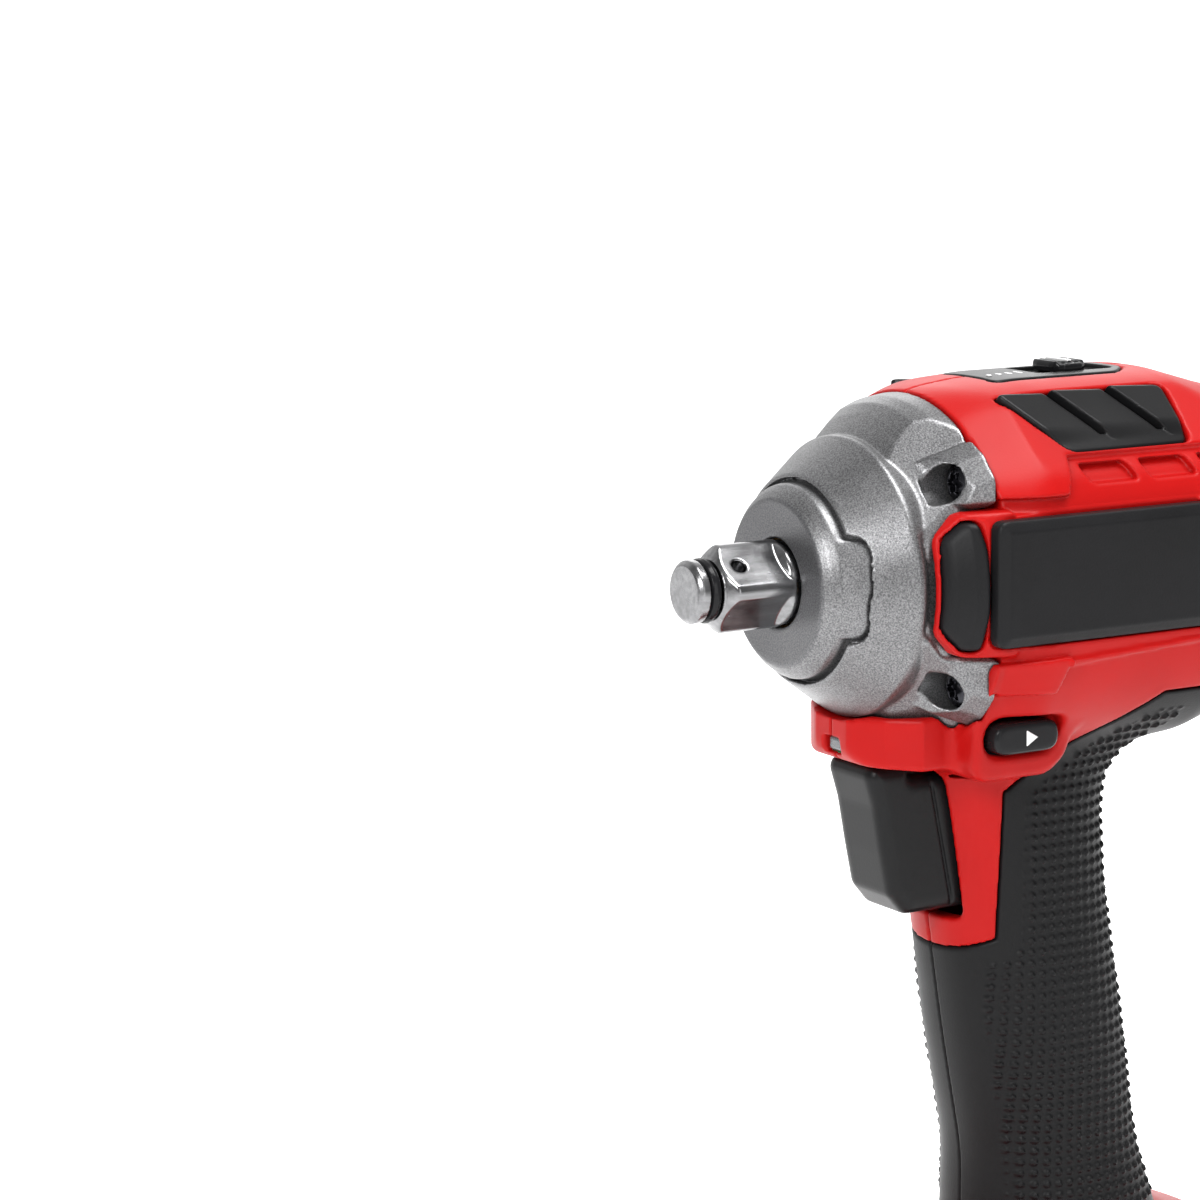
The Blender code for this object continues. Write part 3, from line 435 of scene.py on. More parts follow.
BODY_STATIONS = [
    (45.0, 33.2, 33.0), (49.0, 33.8, 33.8), (58.0, 34.6, 34.9), (66.0, 34.6, 35.4), (98.0, 34.6, 35.4),
    (BODY_BACK, 31.4, 31.4),
]
COVER_STATIONS = [
    (COVER_FRONT, 31.2, 30.9), (117.3, 29.4, 27.9), (124.0, 26.0, 24.5), (133.0, 20.7, 19.5),
    (COVER_BACK, 13.0, 12.5),
]
HANDLE_STATIONS = [
    (-20.0, 72.0, 28.0, 17.0),
    (-34.0, 70.0, 23.0, 17.0),
    (-45.0, 69.2, 19.5, 16.6),
    (-64.0, 71.5, 18.8, 16.4),
    (-90.0, 75.5, 18.8, 17.4),
    (-114.0, 79.5, 18.4, 16.8),
    (-132.0, 82.5, 21.5, 19.0),
    (-144.0, 83.5, 27.0, 25.0),
]
FOOT_STATIONS = [(-133.0, 83.0, 26.0, 23.0), (-141.0, 79.5, 50.0, 34.0), (-158.0, 76.5, 56.5, 37.0)]
SHOULDER_DEPTHS = [(BODY_FRONT, 32.9), (57.0, 35.9)]
BARREL_RADII = [(BODY_FRONT, 33.3), (60.0, 38.0)]
EAR_RADII = [
    (34.8, 25.9), (36.5, 27.8), (38.6, 29.9), (41.2, 32.0), (44.0, 33.4), (CASE_BACK, 34.4), (50.0, 34.8),
]
PACK_TOP_INSETS = [(PACK_JOINT, 0.0), (-162.4, 0.6), (PACK_TOP, 3.0)]
PACK_BOTTOM_INSETS = [(PACK_BOTTOM, 3.0), (-201.5, 0.4), (PACK_JOINT, 0.0)]

TIP_PROFILE = core([(0.0, 5.0), (0.8, 5.8), (2.3, 5.8), (2.3, 4.6), (5.0, 4.6), (5.0, 5.8), (6.5, 5.8)])
RING_PROFILE = [(2.55, 4.9), (2.9, 5.75), (3.65, 6.0), (4.4, 5.75), (4.75, 4.9), (3.65, 4.75)]
JOURNAL_PROFILE = core([
    (16.8, 5.0), (18.2, 7.5), (18.8, 7.8), (ARM_FRONT, 7.8), (ARM_FRONT, 13.0), (41.5, 13.0), (41.5, 10.0),
    (ARM_BACK, 10.0),
])
BOSS_PROFILE = core([(19.4, 15.2), (19.9, 15.8), (20.7, 16.7), (22.2, 17.8), (24.0, 18.5), (28.6, 20.9)])
CONE_PROFILE = core([(23.9, 19.0), (24.3, 19.6), (33.3, 26.0), (34.2, 26.0), (40.0, 25.2)])
LAYER_PROFILE = core([
    (34.6, 25.4), (36.5, 27.4), (38.6, 29.4), (41.2, 31.4), (44.0, 32.5), (CASE_BACK, 33.0),
])
CASE_ROOM_PROFILE = core([
    (15.0, 8.25), (21.5, 8.25), (21.5, 11.0), (35.9, 11.0), (35.9, 22.3), (60.0, 22.3),
])

STEP_PLATE = rounded(
    [(0.0, -9.2), (18.0, -9.2), (19.7, -6.8), (20.8, 1.0), (19.9, 7.0), (18.2, 9.8), (0.0, 12.6)], 1.5,
)
LOBE = rounded(
    [(7.4, 20.0), (6.0, 33.0), (1.6, 34.7), (-4.0, 34.7), (-7.2, 31.8), (-8.6, 28.0), (-9.4, 20.0)], 0.8,
)
EAR = rounded([(36.1, -7.2), (40.0, -11.6), (50.0, -11.8), (50.0, 14.4), (40.3, 14.1), (36.1, 9.8)], 1.2)
BUMPER = rounded(
    [
        (37.1, -6.6), (40.1, -10.4), (43.0, -10.4), (43.8, -4.0), (43.8, 8.0), (43.0, 12.7), (40.4, 12.7),
        (37.2, 9.4),
    ],
    1.0,
)
PANEL = rounded([(44.2, -9.8), (92.0, -9.8), (96.0, -4.0), (96.0, 8.0), (92.0, 13.1), (44.2, 13.1)], 2.0)
GRIP = [
    (60.0, -41.0), (71.0, -32.0), (86.0, -22.5), (120.0, -22.5), (120.0, -130.5), (50.0, -130.5),
    (50.0, -74.5), (60.0, -69.5),
]
CHIN_SIDE = rounded(
    [(31.2, -25.0), (40.0, -24.6), (62.0, -21.0), (62.0, -38.0), (50.0, -34.6), (33.2, -34.4), (31.2, -31.8)],
    1.2,
)
CHIN_PLAN = core([(31.2, 5.0), (35.2, 12.4), (39.8, 17.6), (62.0, 18.2)])
SELECTOR_SIDE = rounded(
    [(46.6, -20.0), (68.0, -20.0), (68.0, -33.0), (64.0, -36.6), (48.6, -36.6), (46.6, -34.0)], 2.0,
)
RAISED_BLOCK = [(40.0, 16.2), (61.6, 16.2), (64.4, 24.0), (64.4, 60.0), (40.0, 60.0)]
POCKET = [(0.0, 21.2), (10.8, 21.0), (12.6, 17.7), (1.8, 17.7)]
RIDGE = [(40.0, -13.4), (60.8, -12.4), (58.6, -19.5), (40.0, -19.5)]
RIB = [(60.0, -13.2), (110.0, -10.6), (110.0, -11.6), (60.0, -14.6)]
LOUVRE = rounded([(55.8, 10.4), (65.4, -4.2), (92.8, -4.2), (94.4, 10.4)], 2.2)
TOP_PANEL = rounded([(61.8, -8.8), (90.0, -8.8), (94.2, -5.0), (94.2, 5.0), (90.0, 8.8), (61.8, 8.8)], 1.5)
SLIDER_RECESS = rounded(rectangle((73.9, -5.4), (92.1, 5.4)), 2.0)
SLIDER = rounded(rectangle((79.3, -4.9), (86.7, 4.9)), 3.0)
SLIDER_MARK = rectangle((82.5, -3.4), (83.5, 3.4))
BUTTON = rounded(rectangle((49.7, -31.3), (64.0, -25.4)), 3.0)
ARROW = [(56.4, -29.9), (58.9, -28.4), (56.4, -26.9)]
TRIGGER = rounded(
    [
        (36.0, -35.0), (44.3, -35.0), (44.3, -37.6), (57.0, -37.6), (57.0, -64.0), (43.5, -64.0),
        (40.2, -60.0), (38.6, -52.0), (37.0, -43.0), (35.2, -37.0),
    ],
    0.8,
)
PACK = rounded(rectangle((PACK_FRONT, -PACK_HALF), (PACK_BACK, PACK_HALF)), PACK_CORNER, 6)


# Square drive and hammer case


def anvil(s):
    """Square drive with a grooved tip, a round journal, and the two arms that the hammer strikes."""
    radius = from_axis(s)
    cosine, sine = math.cos(SQUARE_TURN), math.sin(SQUARE_TURN)
    u, v = s.y * cosine + s.z * sine, s.z * cosine - s.y * sine
    flats = both(np.abs(u), np.abs(v)) - SQUARE_HALF
    square = crossing(flats, radius - SQUARE_CORNER, 0.5)
    square = crossing(square, SQUARE_FRONT - s.x, 0.5)
    bevel = (radius - (6.0 + 1.25 * (s.x - SQUARE_FRONT))) * 0.62
    square = crossing(square, bevel, 0.3)
    square = both(square, s.x - SQUARE_BACK)
    front = union(turned(TIP_PROFILE, s.x, radius), square)
    shape = union(front, turned(JOURNAL_PROFILE, s.x, radius), 0.5)
    run_out = (flats - np.maximum(s.x - SQUARE_RUN_OUT, 0.0) * 0.55) * 0.88
    shape = both(shape, np.where(s.x < SQUARE_BACK, run_out, -1.0))
    arms = block(s, (ARM_FRONT, -ARM_HALF, -ARM_REACH), (ARM_BACK, ARM_HALF, ARM_REACH), 0.6)
    shape = either(shape, arms)
    shape = both(shape, -both(radius - DRIVE_BORE, DRIVE_BORE_FRONT - s.x))
    hole = both(bar(s.x, u, (CROSS_HOLE_X, 0.0), CROSS_HOLE), CROSS_HOLE_DEPTH - v)
    return without(shape, hole, 0.35)


def snap_ring(s):
    return turned(RING_PROFILE, s.x, from_axis(s))


def lobe_axes(s):
    """Along and across the diagonal through a case screw."""
    ay, az = np.abs(s.y), np.abs(s.z)
    along = ay * math.cos(LOBE_ANGLE) + az * math.sin(LOBE_ANGLE)
    across = az * math.cos(LOBE_ANGLE) - ay * math.sin(LOBE_ANGLE)
    return along, across


def screw_lobe(s):
    """A tapered lobe round each case screw, with a slanted front."""
    along, across = lobe_axes(s)
    tapered = along + LOBE_TAPER * np.clip(LOBE_TAPER_X - s.x, 0.0, 12.0)
    lobe = crossing(polygon(LOBE, across, tapered) * 0.86, slab(s.x, LOBE_FRONT, CASE_BACK), 0.4)
    pad = (PAD_X + PAD_SLOPE * (along - PAD_MIDDLE) - PAD_LEAN * across - s.x) * 0.86
    return crossing(lobe, pad, 0.25)


def case_outside(s):
    """Cone with a stepped boss, a band behind it, flattened corners and a lobe round each screw."""
    radius = from_axis(s)
    ay = np.abs(s.y)
    along, _ = lobe_axes(s)
    boss = turned(BOSS_PROFILE, s.x, radius)
    step = either(radius - STEP_RADIUS, both(polygon(STEP_PLATE, ay, s.z), STEP_SIDE - ay))
    cone = crossing(turned(CONE_PROFILE, s.x, radius), -both(step, s.x - STEP_BACK), 0.4)
    facet = (along - (FACET_DEPTH + FACET_SLOPE * (s.x - FACET_X))) * 0.87
    layer = crossing(turned(LAYER_PROFILE, s.x, radius), facet, 0.2)
    body = either(boss, cone)
    ring = np.abs(step + 0.3) - GROOVE_HALF
    groove = both(ring, both(-(boss + GROOVE_DEPTH), s.x - GROOVE_BACK))
    body = without(body, groove, 0.3)
    body = union(body, union(layer, screw_lobe(s), 0.5), 0.25)
    ear = both(polygon(EAR, s.x, s.z), EAR_DEPTH - ay) - 0.35
    return chamfered(body, -ear, 1.1)


def hammer_case(s):
    """The case with its bore, the spigot inside the housing, and the wells of its screws."""
    radius = from_axis(s)
    ay, az = np.abs(s.y), np.abs(s.z)
    body = without(case_outside(s), turned(CASE_ROOM_PROFILE, s.x, radius), 0.25)
    spigot = both(slab(radius, SPIGOT_INNER, SPIGOT_OUTER), slab(s.x, SPIGOT_FRONT, SPIGOT_BACK))
    body = union(body, spigot)
    well = bar(ay, az, (SCREW_Y, SCREW_Z), SCREW_WELL)
    body = without(body, both(well, slab(s.x, SCREW_WELL_FRONT, SCREW_WELL_BACK)), 0.35)
    bore = bar(ay, az, (SCREW_Y, SCREW_Z), SCREW_BORE)
    return both(body, -bore)


def case_screw(s):
    """One domed screw, with a shank behind its head."""
    head = crossing(bar(s.y, s.z, (SCREW_Y, SCREW_Z), SCREW_HEAD), slab(s.x, 43.4, 46.2), 0.7)
    head = both(head, ball(s.x, s.y, s.z, (SCREW_DOME_X, SCREW_Y, SCREW_Z), SCREW_DOME))
    shank = both(bar(s.y, s.z, (SCREW_Y, SCREW_Z), SCREW_SHANK), slab(s.x, 45.5, 51.5))
    recess = both(star(s.y - SCREW_Y, s.z - SCREW_Z, 1.85, 0.38), s.x - 45.0)
    return either(both(head, -recess), shank)


# Housing


def shoulder_axes(s):
    """Depth outwards and place up the flat shoulder."""
    ay = np.abs(s.y)
    depth = ay * math.cos(SHOULDER_ANGLE) + s.z * math.sin(SHOULDER_ANGLE)
    up = s.z * math.cos(SHOULDER_ANGLE) - ay * math.sin(SHOULDER_ANGLE)
    return depth, up


def barrel_outside(s):
    half_y, half_z = smooth_rows(BODY_STATIONS, s.x, 3.0)
    shape = oval(s.y, s.z, half_y, half_z, BODY_POWER)
    depth, _ = shoulder_axes(s)
    shape = crossing(shape, depth - between(SHOULDER_DEPTHS, s.x), 0.8)
    return crossing(shape, (from_axis(s) - between(BARREL_RADII, s.x)) * 0.93, 0.8)


def handle_outside(s):
    middle, half_x, half_y = smooth_rows(HANDLE_STATIONS, s.z, 9.0)
    shape = oval(s.x - middle, s.y, half_x, half_y, 2.3)
    return both(shape, slab(s.z, -144.0, -12.0))


def foot_outside(s):
    middle, half_x, half_y = smooth_rows(FOOT_STATIONS, s.z, 3.0)
    return crossing(oval(s.x - middle, s.y, half_x, half_y, 5.0), slab(s.z, -158.0, -134.0), 1.5)


def body_outside(s):
    """Barrel, handle and foot without the details of the front."""
    barrel = both(barrel_outside(s), slab(s.x, BODY_FRONT, BODY_BACK))
    shape = union(barrel, handle_outside(s), 7.0)
    return union(shape, foot_outside(s), 6.0)


def chin_outside(s):
    """The chin under the case, which holds the lamp."""
    return crossing(polygon(CHIN_SIDE, s.x, s.z), polygon(CHIN_PLAN, s.x, np.abs(s.y)), 1.0)


def selector_side(s):
    """The full side of the body round the ends of the direction selector."""
    width = 25.0 + 0.12 * (s.z + 25.0)
    return crossing(polygon(SELECTOR_SIDE, s.x, s.z), np.abs(s.y) - width, 1.6)


def ear_skin(s, proud=0.0):
    """The round skin of the ears that reach forwards over the case."""
    return (from_axis(s) - between(EAR_RADII, s.x) - proud) * 0.85


def housing_skin(s):
    """Outside of the red housing with its blocks, valleys and pockets."""
    ay = np.abs(s.y)
    _, up = shoulder_axes(s)
    body = body_outside(s)
    valley = both(slab(s.z, 13.6, 23.4), both(up + 4.9, s.x - 108.0))
    valley = both(valley, -polygon(RAISED_BLOCK, s.x, s.z))
    body = crossing(body, union(-valley, body + VALLEY_DEPTH, 0.5), 0.5)
    for first in POCKETS_X:
        outline = rounded([(first + x, z) for x, z in POCKET], 1.0)
        dent = both(polygon(outline, s.x, s.z), SIDE_DEPTH - ay)
        body = crossing(body, union(-dent, body + VALLEY_DEPTH, 0.3), 0.35)
    for outline, height, edge in ((RIDGE, RIDGE_HEIGHT, 0.6), (RIB, RIB_HEIGHT, 0.4)):
        raised = both(polygon(outline, s.x, s.z), SIDE_DEPTH - ay)
        body = either(body, crossing(body - height, raised, edge))
    body = union(body, chin_outside(s), 1.2)
    body = union(body, selector_side(s), 2.5)
    ear = crossing(polygon(EAR, s.x, s.z), ear_skin(s), 0.5)
    return union(body, both(ear, 25.0 - ay), 0.3)


def inlay_rooms(s):
    """Room for the panels, pads and grips let into the housing."""
    ay = np.abs(s.y)
    side = both(polygon(PANEL, s.x, s.z) - JOINT, PANEL_FLOOR - FLOOR_GAP - ay)
    bumper = both(polygon(BUMPER, s.x, s.z) - JOINT, BUMPER_FLOOR - FLOOR_GAP - ay)
    top = both(polygon(TOP_PANEL, s.x, ay) - JOINT, TOP_FLOOR - FLOOR_GAP - s.z)
    rubber = both(polygon(GRIP, s.x, s.z) - JOINT, -(body_outside(s) + GRIP_DEPTH + 0.3))
    return side, bumper, louvre_room(s, JOINT), top, rubber


def inner_rooms(s):
    """Room inside the housing: for the case, the motor, and the handle with the foot's slot."""
    case = both(from_axis(s) - CASE_ROOM, s.x - CASE_ROOM_BACK)
    ring = both(from_axis(s) - RING_ROOM, s.x - 46.0)
    barrel = both(barrel_outside(s) + 4.6, slab(s.x, 53.0, 120.0))
    handle = both(handle_outside(s) + 3.2, slab(s.z, -145.0, -30.0))
    foot = block(s, (46.0, -26.0, -147.3), (114.0, 26.0, -142.0))
    return case, ring, barrel, either(handle, foot)


def selector_rooms(s):
    """The opening and the dish round the selector's ends, and the room for its bar."""
    ay = np.abs(s.y)
    opening = both(polygon(BUTTON, s.x, s.z) - 0.5, 12.9 - ay)
    dish = both(polygon(BUTTON, s.x, s.z) - 1.1, 23.7 - ay)
    bar_room = block(s, (50.6, -SELECTOR_ROOM, -37.8), (63.4, SELECTOR_ROOM, -25.6), 0.5)
    return opening, dish, bar_room


def housing(s):
    """The red housing as one body, hollow, with its openings."""
    body = crossing(housing_skin(s), -(case_outside(s) - JOINT), 0.35)
    for room in inner_rooms(s):
        body = both(body, -room)
    window = block(s, (40.0, -8.6, -66.0), (62.0, 8.6, -34.9), 2.0)
    body = without(body, window, 0.8)
    for room in inlay_rooms(s):
        body = without(body, room, 0.3)
    opening, dish, bar_room = selector_rooms(s)
    body = without(without(body, opening, 0.3), dish, 0.8)
    body = both(body, -bar_room)
    lamp = block(s, (20.0, -2.7, -32.9), (37.5, 2.7, -29.8), 0.8)
    body = without(body, lamp, 0.4)
    rails = block(s, (10.0, -RAIL_HALF, -161.0), (BODY_BACK, RAIL_HALF, -149.0))
    flange = block(s, (10.0, -FLANGE_HALF, -153.5), (111.3, FLANGE_HALF, -149.1))
    body = both(body, -either(rails, flange))
    for x, z in HOUSING_SCREWS:
        hole = both(bar(s.x, s.z, (x, z), 3.0), both(-(body_outside(s) + 3.0), -s.y))
        body = without(body, hole, 0.4)
    return body


def half_of(field, s, side):
    """One side of a casing, with a fine line left between the halves."""
    return crossing(field, SEAM - side * s.y, 0.25)


def housing_screw(s):
    """Round-headed screw along Y at the origin of its own grid."""
    head = crossing(bar(s.x, s.z, (0.0, 0.0), 2.7), slab(s.y, -1.2, 0.9), 0.5)
    return both(head, -both(star(s.x, s.z, 1.4, 0.28), -0.4 - s.y))


# Pieces let into the housing


def side_panel(s):
    ay = np.abs(s.y)
    outline = polygon(PANEL, s.x, s.z)
    raised = 34.5 + np.clip(-outline * 0.5, 0.0, 1.0)
    return crossing(both(outline, PANEL_FLOOR - ay), (ay - raised) * 0.9, 0.35)


def nose_bumper(s):
    outline = both(polygon(BUMPER, s.x, s.z), BUMPER_FLOOR - np.abs(s.y))
    return crossing(outline, ear_skin(s, 0.25), 1.4)


def louvre_room(s, gap=0.0):
    depth, up = shoulder_axes(s)
    return both(polygon(LOUVRE, s.x, up) - gap, LOUVRE_FLOOR - FLOOR_GAP - depth)


def louvre(s):
    """Three overlapping fins on a tray, with a slot in front of each raised edge."""
    depth, up = shoulder_axes(s)
    across = s.x + LOUVRE_LEAN * up
    tray = both(polygon(LOUVRE, s.x, up), LOUVRE_FLOOR - depth)
    height = np.zeros_like(across)
    for first, last in zip(LOUVRE_EDGES, LOUVRE_EDGES[1:] + (LOUVRE_END,)):
        share = (across - first) / (last - first)
        height = np.where((share >= 0.0) & (share < 1.0), FIN_HEIGHT - FIN_FALL * share, height)
    height = height * ramp(up, -2.6, 1.6)
    shape = crossing(tray, (depth - LOUVRE_SKIN - 0.85 * height) * 0.8, 0.8)
    for edge in LOUVRE_EDGES[1:]:
        slot = both(slab(across, edge - FIN_SLOT, edge), both(-0.4 - up, 34.0 - depth))
        shape = without(shape, slot, 0.3)
    return shape


def handle_edge(s):
    """Distance in from the handle's front and back edges, as seen from the side."""
    middle, half_x, _ = smooth_rows(HANDLE_STATIONS, s.z, 9.0)
    return np.abs(s.x - middle) - half_x


def grip(s):
    """Rubber over the handle's sides and back, with rows of studs inside a smooth border."""
    outside = body_outside(s)
    outline = polygon(GRIP, s.x, s.z)
    pitch = 2 * math.pi / STUD_PITCH * DIAGONAL
    rows = np.cos((s.x + s.z) * pitch) * np.cos((s.x - s.z) * pitch)
    border = ramp(-outline, 3.8, 4.4) * ramp(-handle_edge(s), 2.5, 3.5) * ramp(-s.z, 24.0, 27.0)
    studs = STUD_HEIGHT * ramp(rows, 0.15, 0.65) * border
    return crossing(both(outline, -(outside + GRIP_DEPTH)), outside - studs, 0.6)


def rear_cover(s):
    """Black cap over the motor's end, with vents on both sides and a groove round it."""
    half_y, half_z = smooth_rows(COVER_STATIONS, s.x, 3.0)
    shape = oval(s.y, s.z, half_y, half_z, BODY_POWER)
    cover = crossing(shape, slab(s.x, COVER_FRONT, COVER_BACK), 2.2)
    cover = both(cover, -both(shape + COVER_WALL, slab(s.x, 100.0, 136.5)))
    for line in VENTS_Z:
        vent = both(slab(s.x, 116.5, 124.5), slab(s.z - line, -VENT_HALF, VENT_HALF))
        cover = without(cover, both(vent, 14.0 - np.abs(s.y)), 0.4)
    groove = both(slab(s.x, 129.0, 130.4), -(shape + 0.7))
    return without(cover, groove, 0.4)


# Controls


def top_panel(s):
    skin = both(TOP_FLOOR - s.z, barrel_outside(s) - 0.12)
    shape = crossing(polygon(TOP_PANEL, s.x, np.abs(s.y)), skin, 0.5)
    return without(shape, both(polygon(SLIDER_RECESS, s.x, s.y), 34.5 - s.z), 0.4)


def speed_slider(s):
    waves = np.abs(np.cos((s.x - SLIDER_X) * math.pi / SLIDER_RIDGE))
    ridges = 0.45 * waves * ramp(4.2 - np.abs(s.y), 0.0, 0.8)
    thickness = both(s.z - SLIDER_TOP - ridges, SLIDER_BOTTOM - s.z)
    return crossing(polygon(SLIDER, s.x, s.y), thickness, 0.7)


def selector(s):
    """Two ends in the sides of the housing, joined by a bar under the motor's wires."""
    ay = np.abs(s.y)
    ends = crossing(polygon(BUTTON, s.x, s.z), slab(ay, 16.6, SELECTOR_END), 1.2)
    across = block(s, (51.5, -SELECTOR_STEP, -37.0), (62.5, SELECTOR_STEP, -31.3), 0.5)
    upright = both(slab(s.x, 51.8, 62.2), slab(s.z, -33.0, -28.0))
    joined = both(upright, slab(ay, SELECTOR_INNER, SELECTOR_STEP))
    return either(either(ends, across), joined)


def lamp_lens(s):
    return block(s, (32.6, -2.5, -32.7), (34.8, 2.5, -30.0), 0.7)


def trigger(s):
    """Finger piece with a fine line down its front edge, and the stem behind it."""
    ay = np.abs(s.y)
    shape = crossing(polygon(TRIGGER, s.x, s.z), ay - TRIGGER_HALF, 3.2)
    stem = both(bar(s.y, s.z, (0.0, -44.0), 3.5), slab(s.x, 55.0, 60.0))
    line = both(slab(s.x + 0.2 * s.z, 40.5, 41.1), 7.4 - ay)
    return either(without(shape, line, 0.3), stem)


# Battery


def pack_wall(s, inset):
    return polygon(PACK, s.x, s.y) + inset


def battery_top(s):
    """Upper shell with the rails, the contact slot and the latch's recess."""
    side = pack_wall(s, between(PACK_TOP_INSETS, s.z))
    shell = crossing(side, slab(s.z, PACK_JOINT + 0.1, PACK_TOP), 0.8)
    shell = both(shell, -both(pack_wall(s, 3.0), s.z - (PACK_TOP - 3.0)))
    rail = block(s, (24.0, -21.0, -160.0), (111.0, 21.0, -149.4), 0.6)
    flange = block(s, (24.0, -26.0, -153.0), (111.0, 26.0, -149.4), 0.5)
    shape = either(shell, either(rail, flange))
    contacts = block(s, (98.0, -16.0, -158.5), (116.0, 16.0, -140.0), 0.5)
    shape = without(shape, contacts, 0.4)
    latch_room = block(s, (10.0, -LATCH_HALF - 0.5, -172.0), (25.5, LATCH_HALF + 0.5, -150.0), 0.8)
    return without(shape, latch_room, 0.6)


def battery_bottom(s):
    """Lower shell with three long grooves on each side."""
    side = pack_wall(s, between(PACK_BOTTOM_INSETS, s.z))
    shell = crossing(side, slab(s.z, PACK_BOTTOM, PACK_JOINT - 0.1), 0.8)
    shell = both(shell, -both(pack_wall(s, 2.4), PACK_BOTTOM + 2.4 - s.z))
    for line in PACK_GROOVES:
        band = both(slab(s.z, line - 0.9, line + 0.9), both(-(side + 0.8), slab(s.x, 42.0, 112.0)))
        shell = without(shell, band, 0.5)
    return shell


def release_latch(s):
    """Latch button with a finger scoop and fine ribs in it."""
    ay = np.abs(s.y)
    shape = block(s, (20.6, -LATCH_HALF, -169.0), (25.0, LATCH_HALF, -155.0), 1.0)
    scoop = bar(s.x, s.z, (13.6, -163.2), 8.6)
    shape = without(shape, both(scoop, ay - 12.0), 0.6)
    waves = np.abs(np.cos(s.z * math.pi / 1.8))
    return shape - 0.3 * waves * ramp(11.0 - ay, 0.0, 1.0) * ramp(-s.x, -22.4, -21.6)


# Materials


def new_material(name, colour, roughness, metallic=0.0):
    material = bpy.data.materials.new(name)
    material.use_nodes = True
    shader = material.node_tree.nodes["Principled BSDF"]
    shader.inputs["Base Color"].default_value = (*colour, 1.0)
    shader.inputs["Roughness"].default_value = roughness
    shader.inputs["Metallic"].default_value = metallic
    return material, material.node_tree, shader


def add_node(tree, kind, settings=(), links=()):
    """Adds a node; settings fill sockets or fields, links are (socket, from node, from socket)."""
    node = tree.nodes.new(kind)
    for key, value in settings:
        if isinstance(key, int) or key in node.inputs:
            node.inputs[key].default_value = value
        else:
            setattr(node, key, value)
    for socket, source, output in links:
        tree.links.new(source.outputs[output], node.inputs[socket])
    return node


def object_place(tree):
    return add_node(tree, "ShaderNodeTexCoord")


def noise(tree, place, per_metre, detail=3.0, rough=0.55):
    settings = (("Scale", per_metre), ("Detail", detail), ("Roughness", rough))
    return add_node(tree, "ShaderNodeTexNoise", settings, (("Vector", place, "Object"),))


def spread(tree, source, output, low, high, from_low=0.35, from_high=0.65):
    """Maps a range, which is a texture's middle range unless given, to low..high."""
    settings = (("From Min", from_low), ("From Max", from_high), ("To Min", low), ("To Max", high))
    return add_node(tree, "ShaderNodeMapRange", settings, (("Value", source, output),))


def tint(tree, factor, first, second):
    """A colour between two, by a factor from 0 to 1."""
    node = add_node(tree, "ShaderNodeMix", (("data_type", "RGBA"),))
    factor_in, first_in, second_in, colour_out = 0, 6, 7, 2
    node.inputs[first_in].default_value = (*first, 1.0)
    node.inputs[second_in].default_value = (*second, 1.0)
    tree.links.new(factor, node.inputs[factor_in])
    return node.outputs[colour_out]


def bump(tree, shader, height, strength, distance):
    node = add_node(tree, "ShaderNodeBump", (("Strength", strength), ("Distance", distance)))
    tree.links.new(height, node.inputs["Height"])
    tree.links.new(node.outputs["Normal"], shader.inputs["Normal"])


def colour_by(tree, shader, source, first, second, from_low=0.35, from_high=0.65):
    """Colours a shader between two colours by a noise."""
    factor = spread(tree, source, "Fac", 0.0, 1.0, from_low, from_high)
    tree.links.new(tint(tree, factor.outputs[0], first, second), shader.inputs["Base Color"])


def roughness_by(tree, shader, source, low, high):
    rough = spread(tree, source, "Fac", low, high)
    tree.links.new(rough.outputs[0], shader.inputs["Roughness"])


def plastic(name, colour, shade, roughness, grain, per_metre=2600.0):
    """Moulded plastic or rubber: a fine grain, a slow drift in colour and in roughness."""
    material, tree, shader = new_material(name, colour, roughness)
    shader.inputs["Specular IOR Level"].default_value = PLASTIC_SHEEN
    place = object_place(tree)
    slow = noise(tree, place, 28.0, detail=4.0)
    fine = noise(tree, place, per_metre, detail=2.0, rough=0.6)
    colour_by(tree, shader, slow, colour, shade)
    roughness_by(tree, shader, slow, roughness - 0.05, roughness + 0.05)
    bump(tree, shader, fine.outputs["Fac"], strength=grain, distance=0.00012)
    return material


def cast_metal(name, dark, light, roughness, metallic=0.85):
    """Bead-blasted casting: light and dark specks with a fine pitted surface."""
    material, tree, shader = new_material(name, light, roughness, metallic)
    place = object_place(tree)
    specks = noise(tree, place, 3400.0, detail=2.0, rough=0.6)
    slow = noise(tree, place, 45.0, detail=4.0)
    colour_by(tree, shader, specks, dark, light, from_low=0.36, from_high=0.66)
    roughness_by(tree, shader, slow, roughness - 0.06, roughness + 0.08)
    bump(tree, shader, specks.outputs["Fac"], strength=0.35, distance=0.00009)
    return material


def steel(name, colour, roughness, across=(1.0, 1.0, 1.0), strength=0.12):
    """Ground steel: thin scratches along one direction and a faint change in roughness."""
    material, tree, shader = new_material(name, colour, roughness, 1.0)
    place = object_place(tree)
    stretch = add_node(tree, "ShaderNodeMapping", (("Scale", across),), (("Vector", place, "Object"),))
    scratches = (("Scale", 900.0), ("Detail", 4.0))
    lines = add_node(tree, "ShaderNodeTexNoise", scratches, (("Vector", stretch, "Vector"),))
    slow = noise(tree, place, 120.0, detail=3.0)
    roughness_by(tree, shader, slow, roughness - 0.05, roughness + 0.10)
    worn = tuple(min(1.0, value * 1.35) for value in colour)
    colour_by(tree, shader, lines, colour, worn)
    bump(tree, shader, lines.outputs["Fac"], strength=strength, distance=0.00005)
    return material


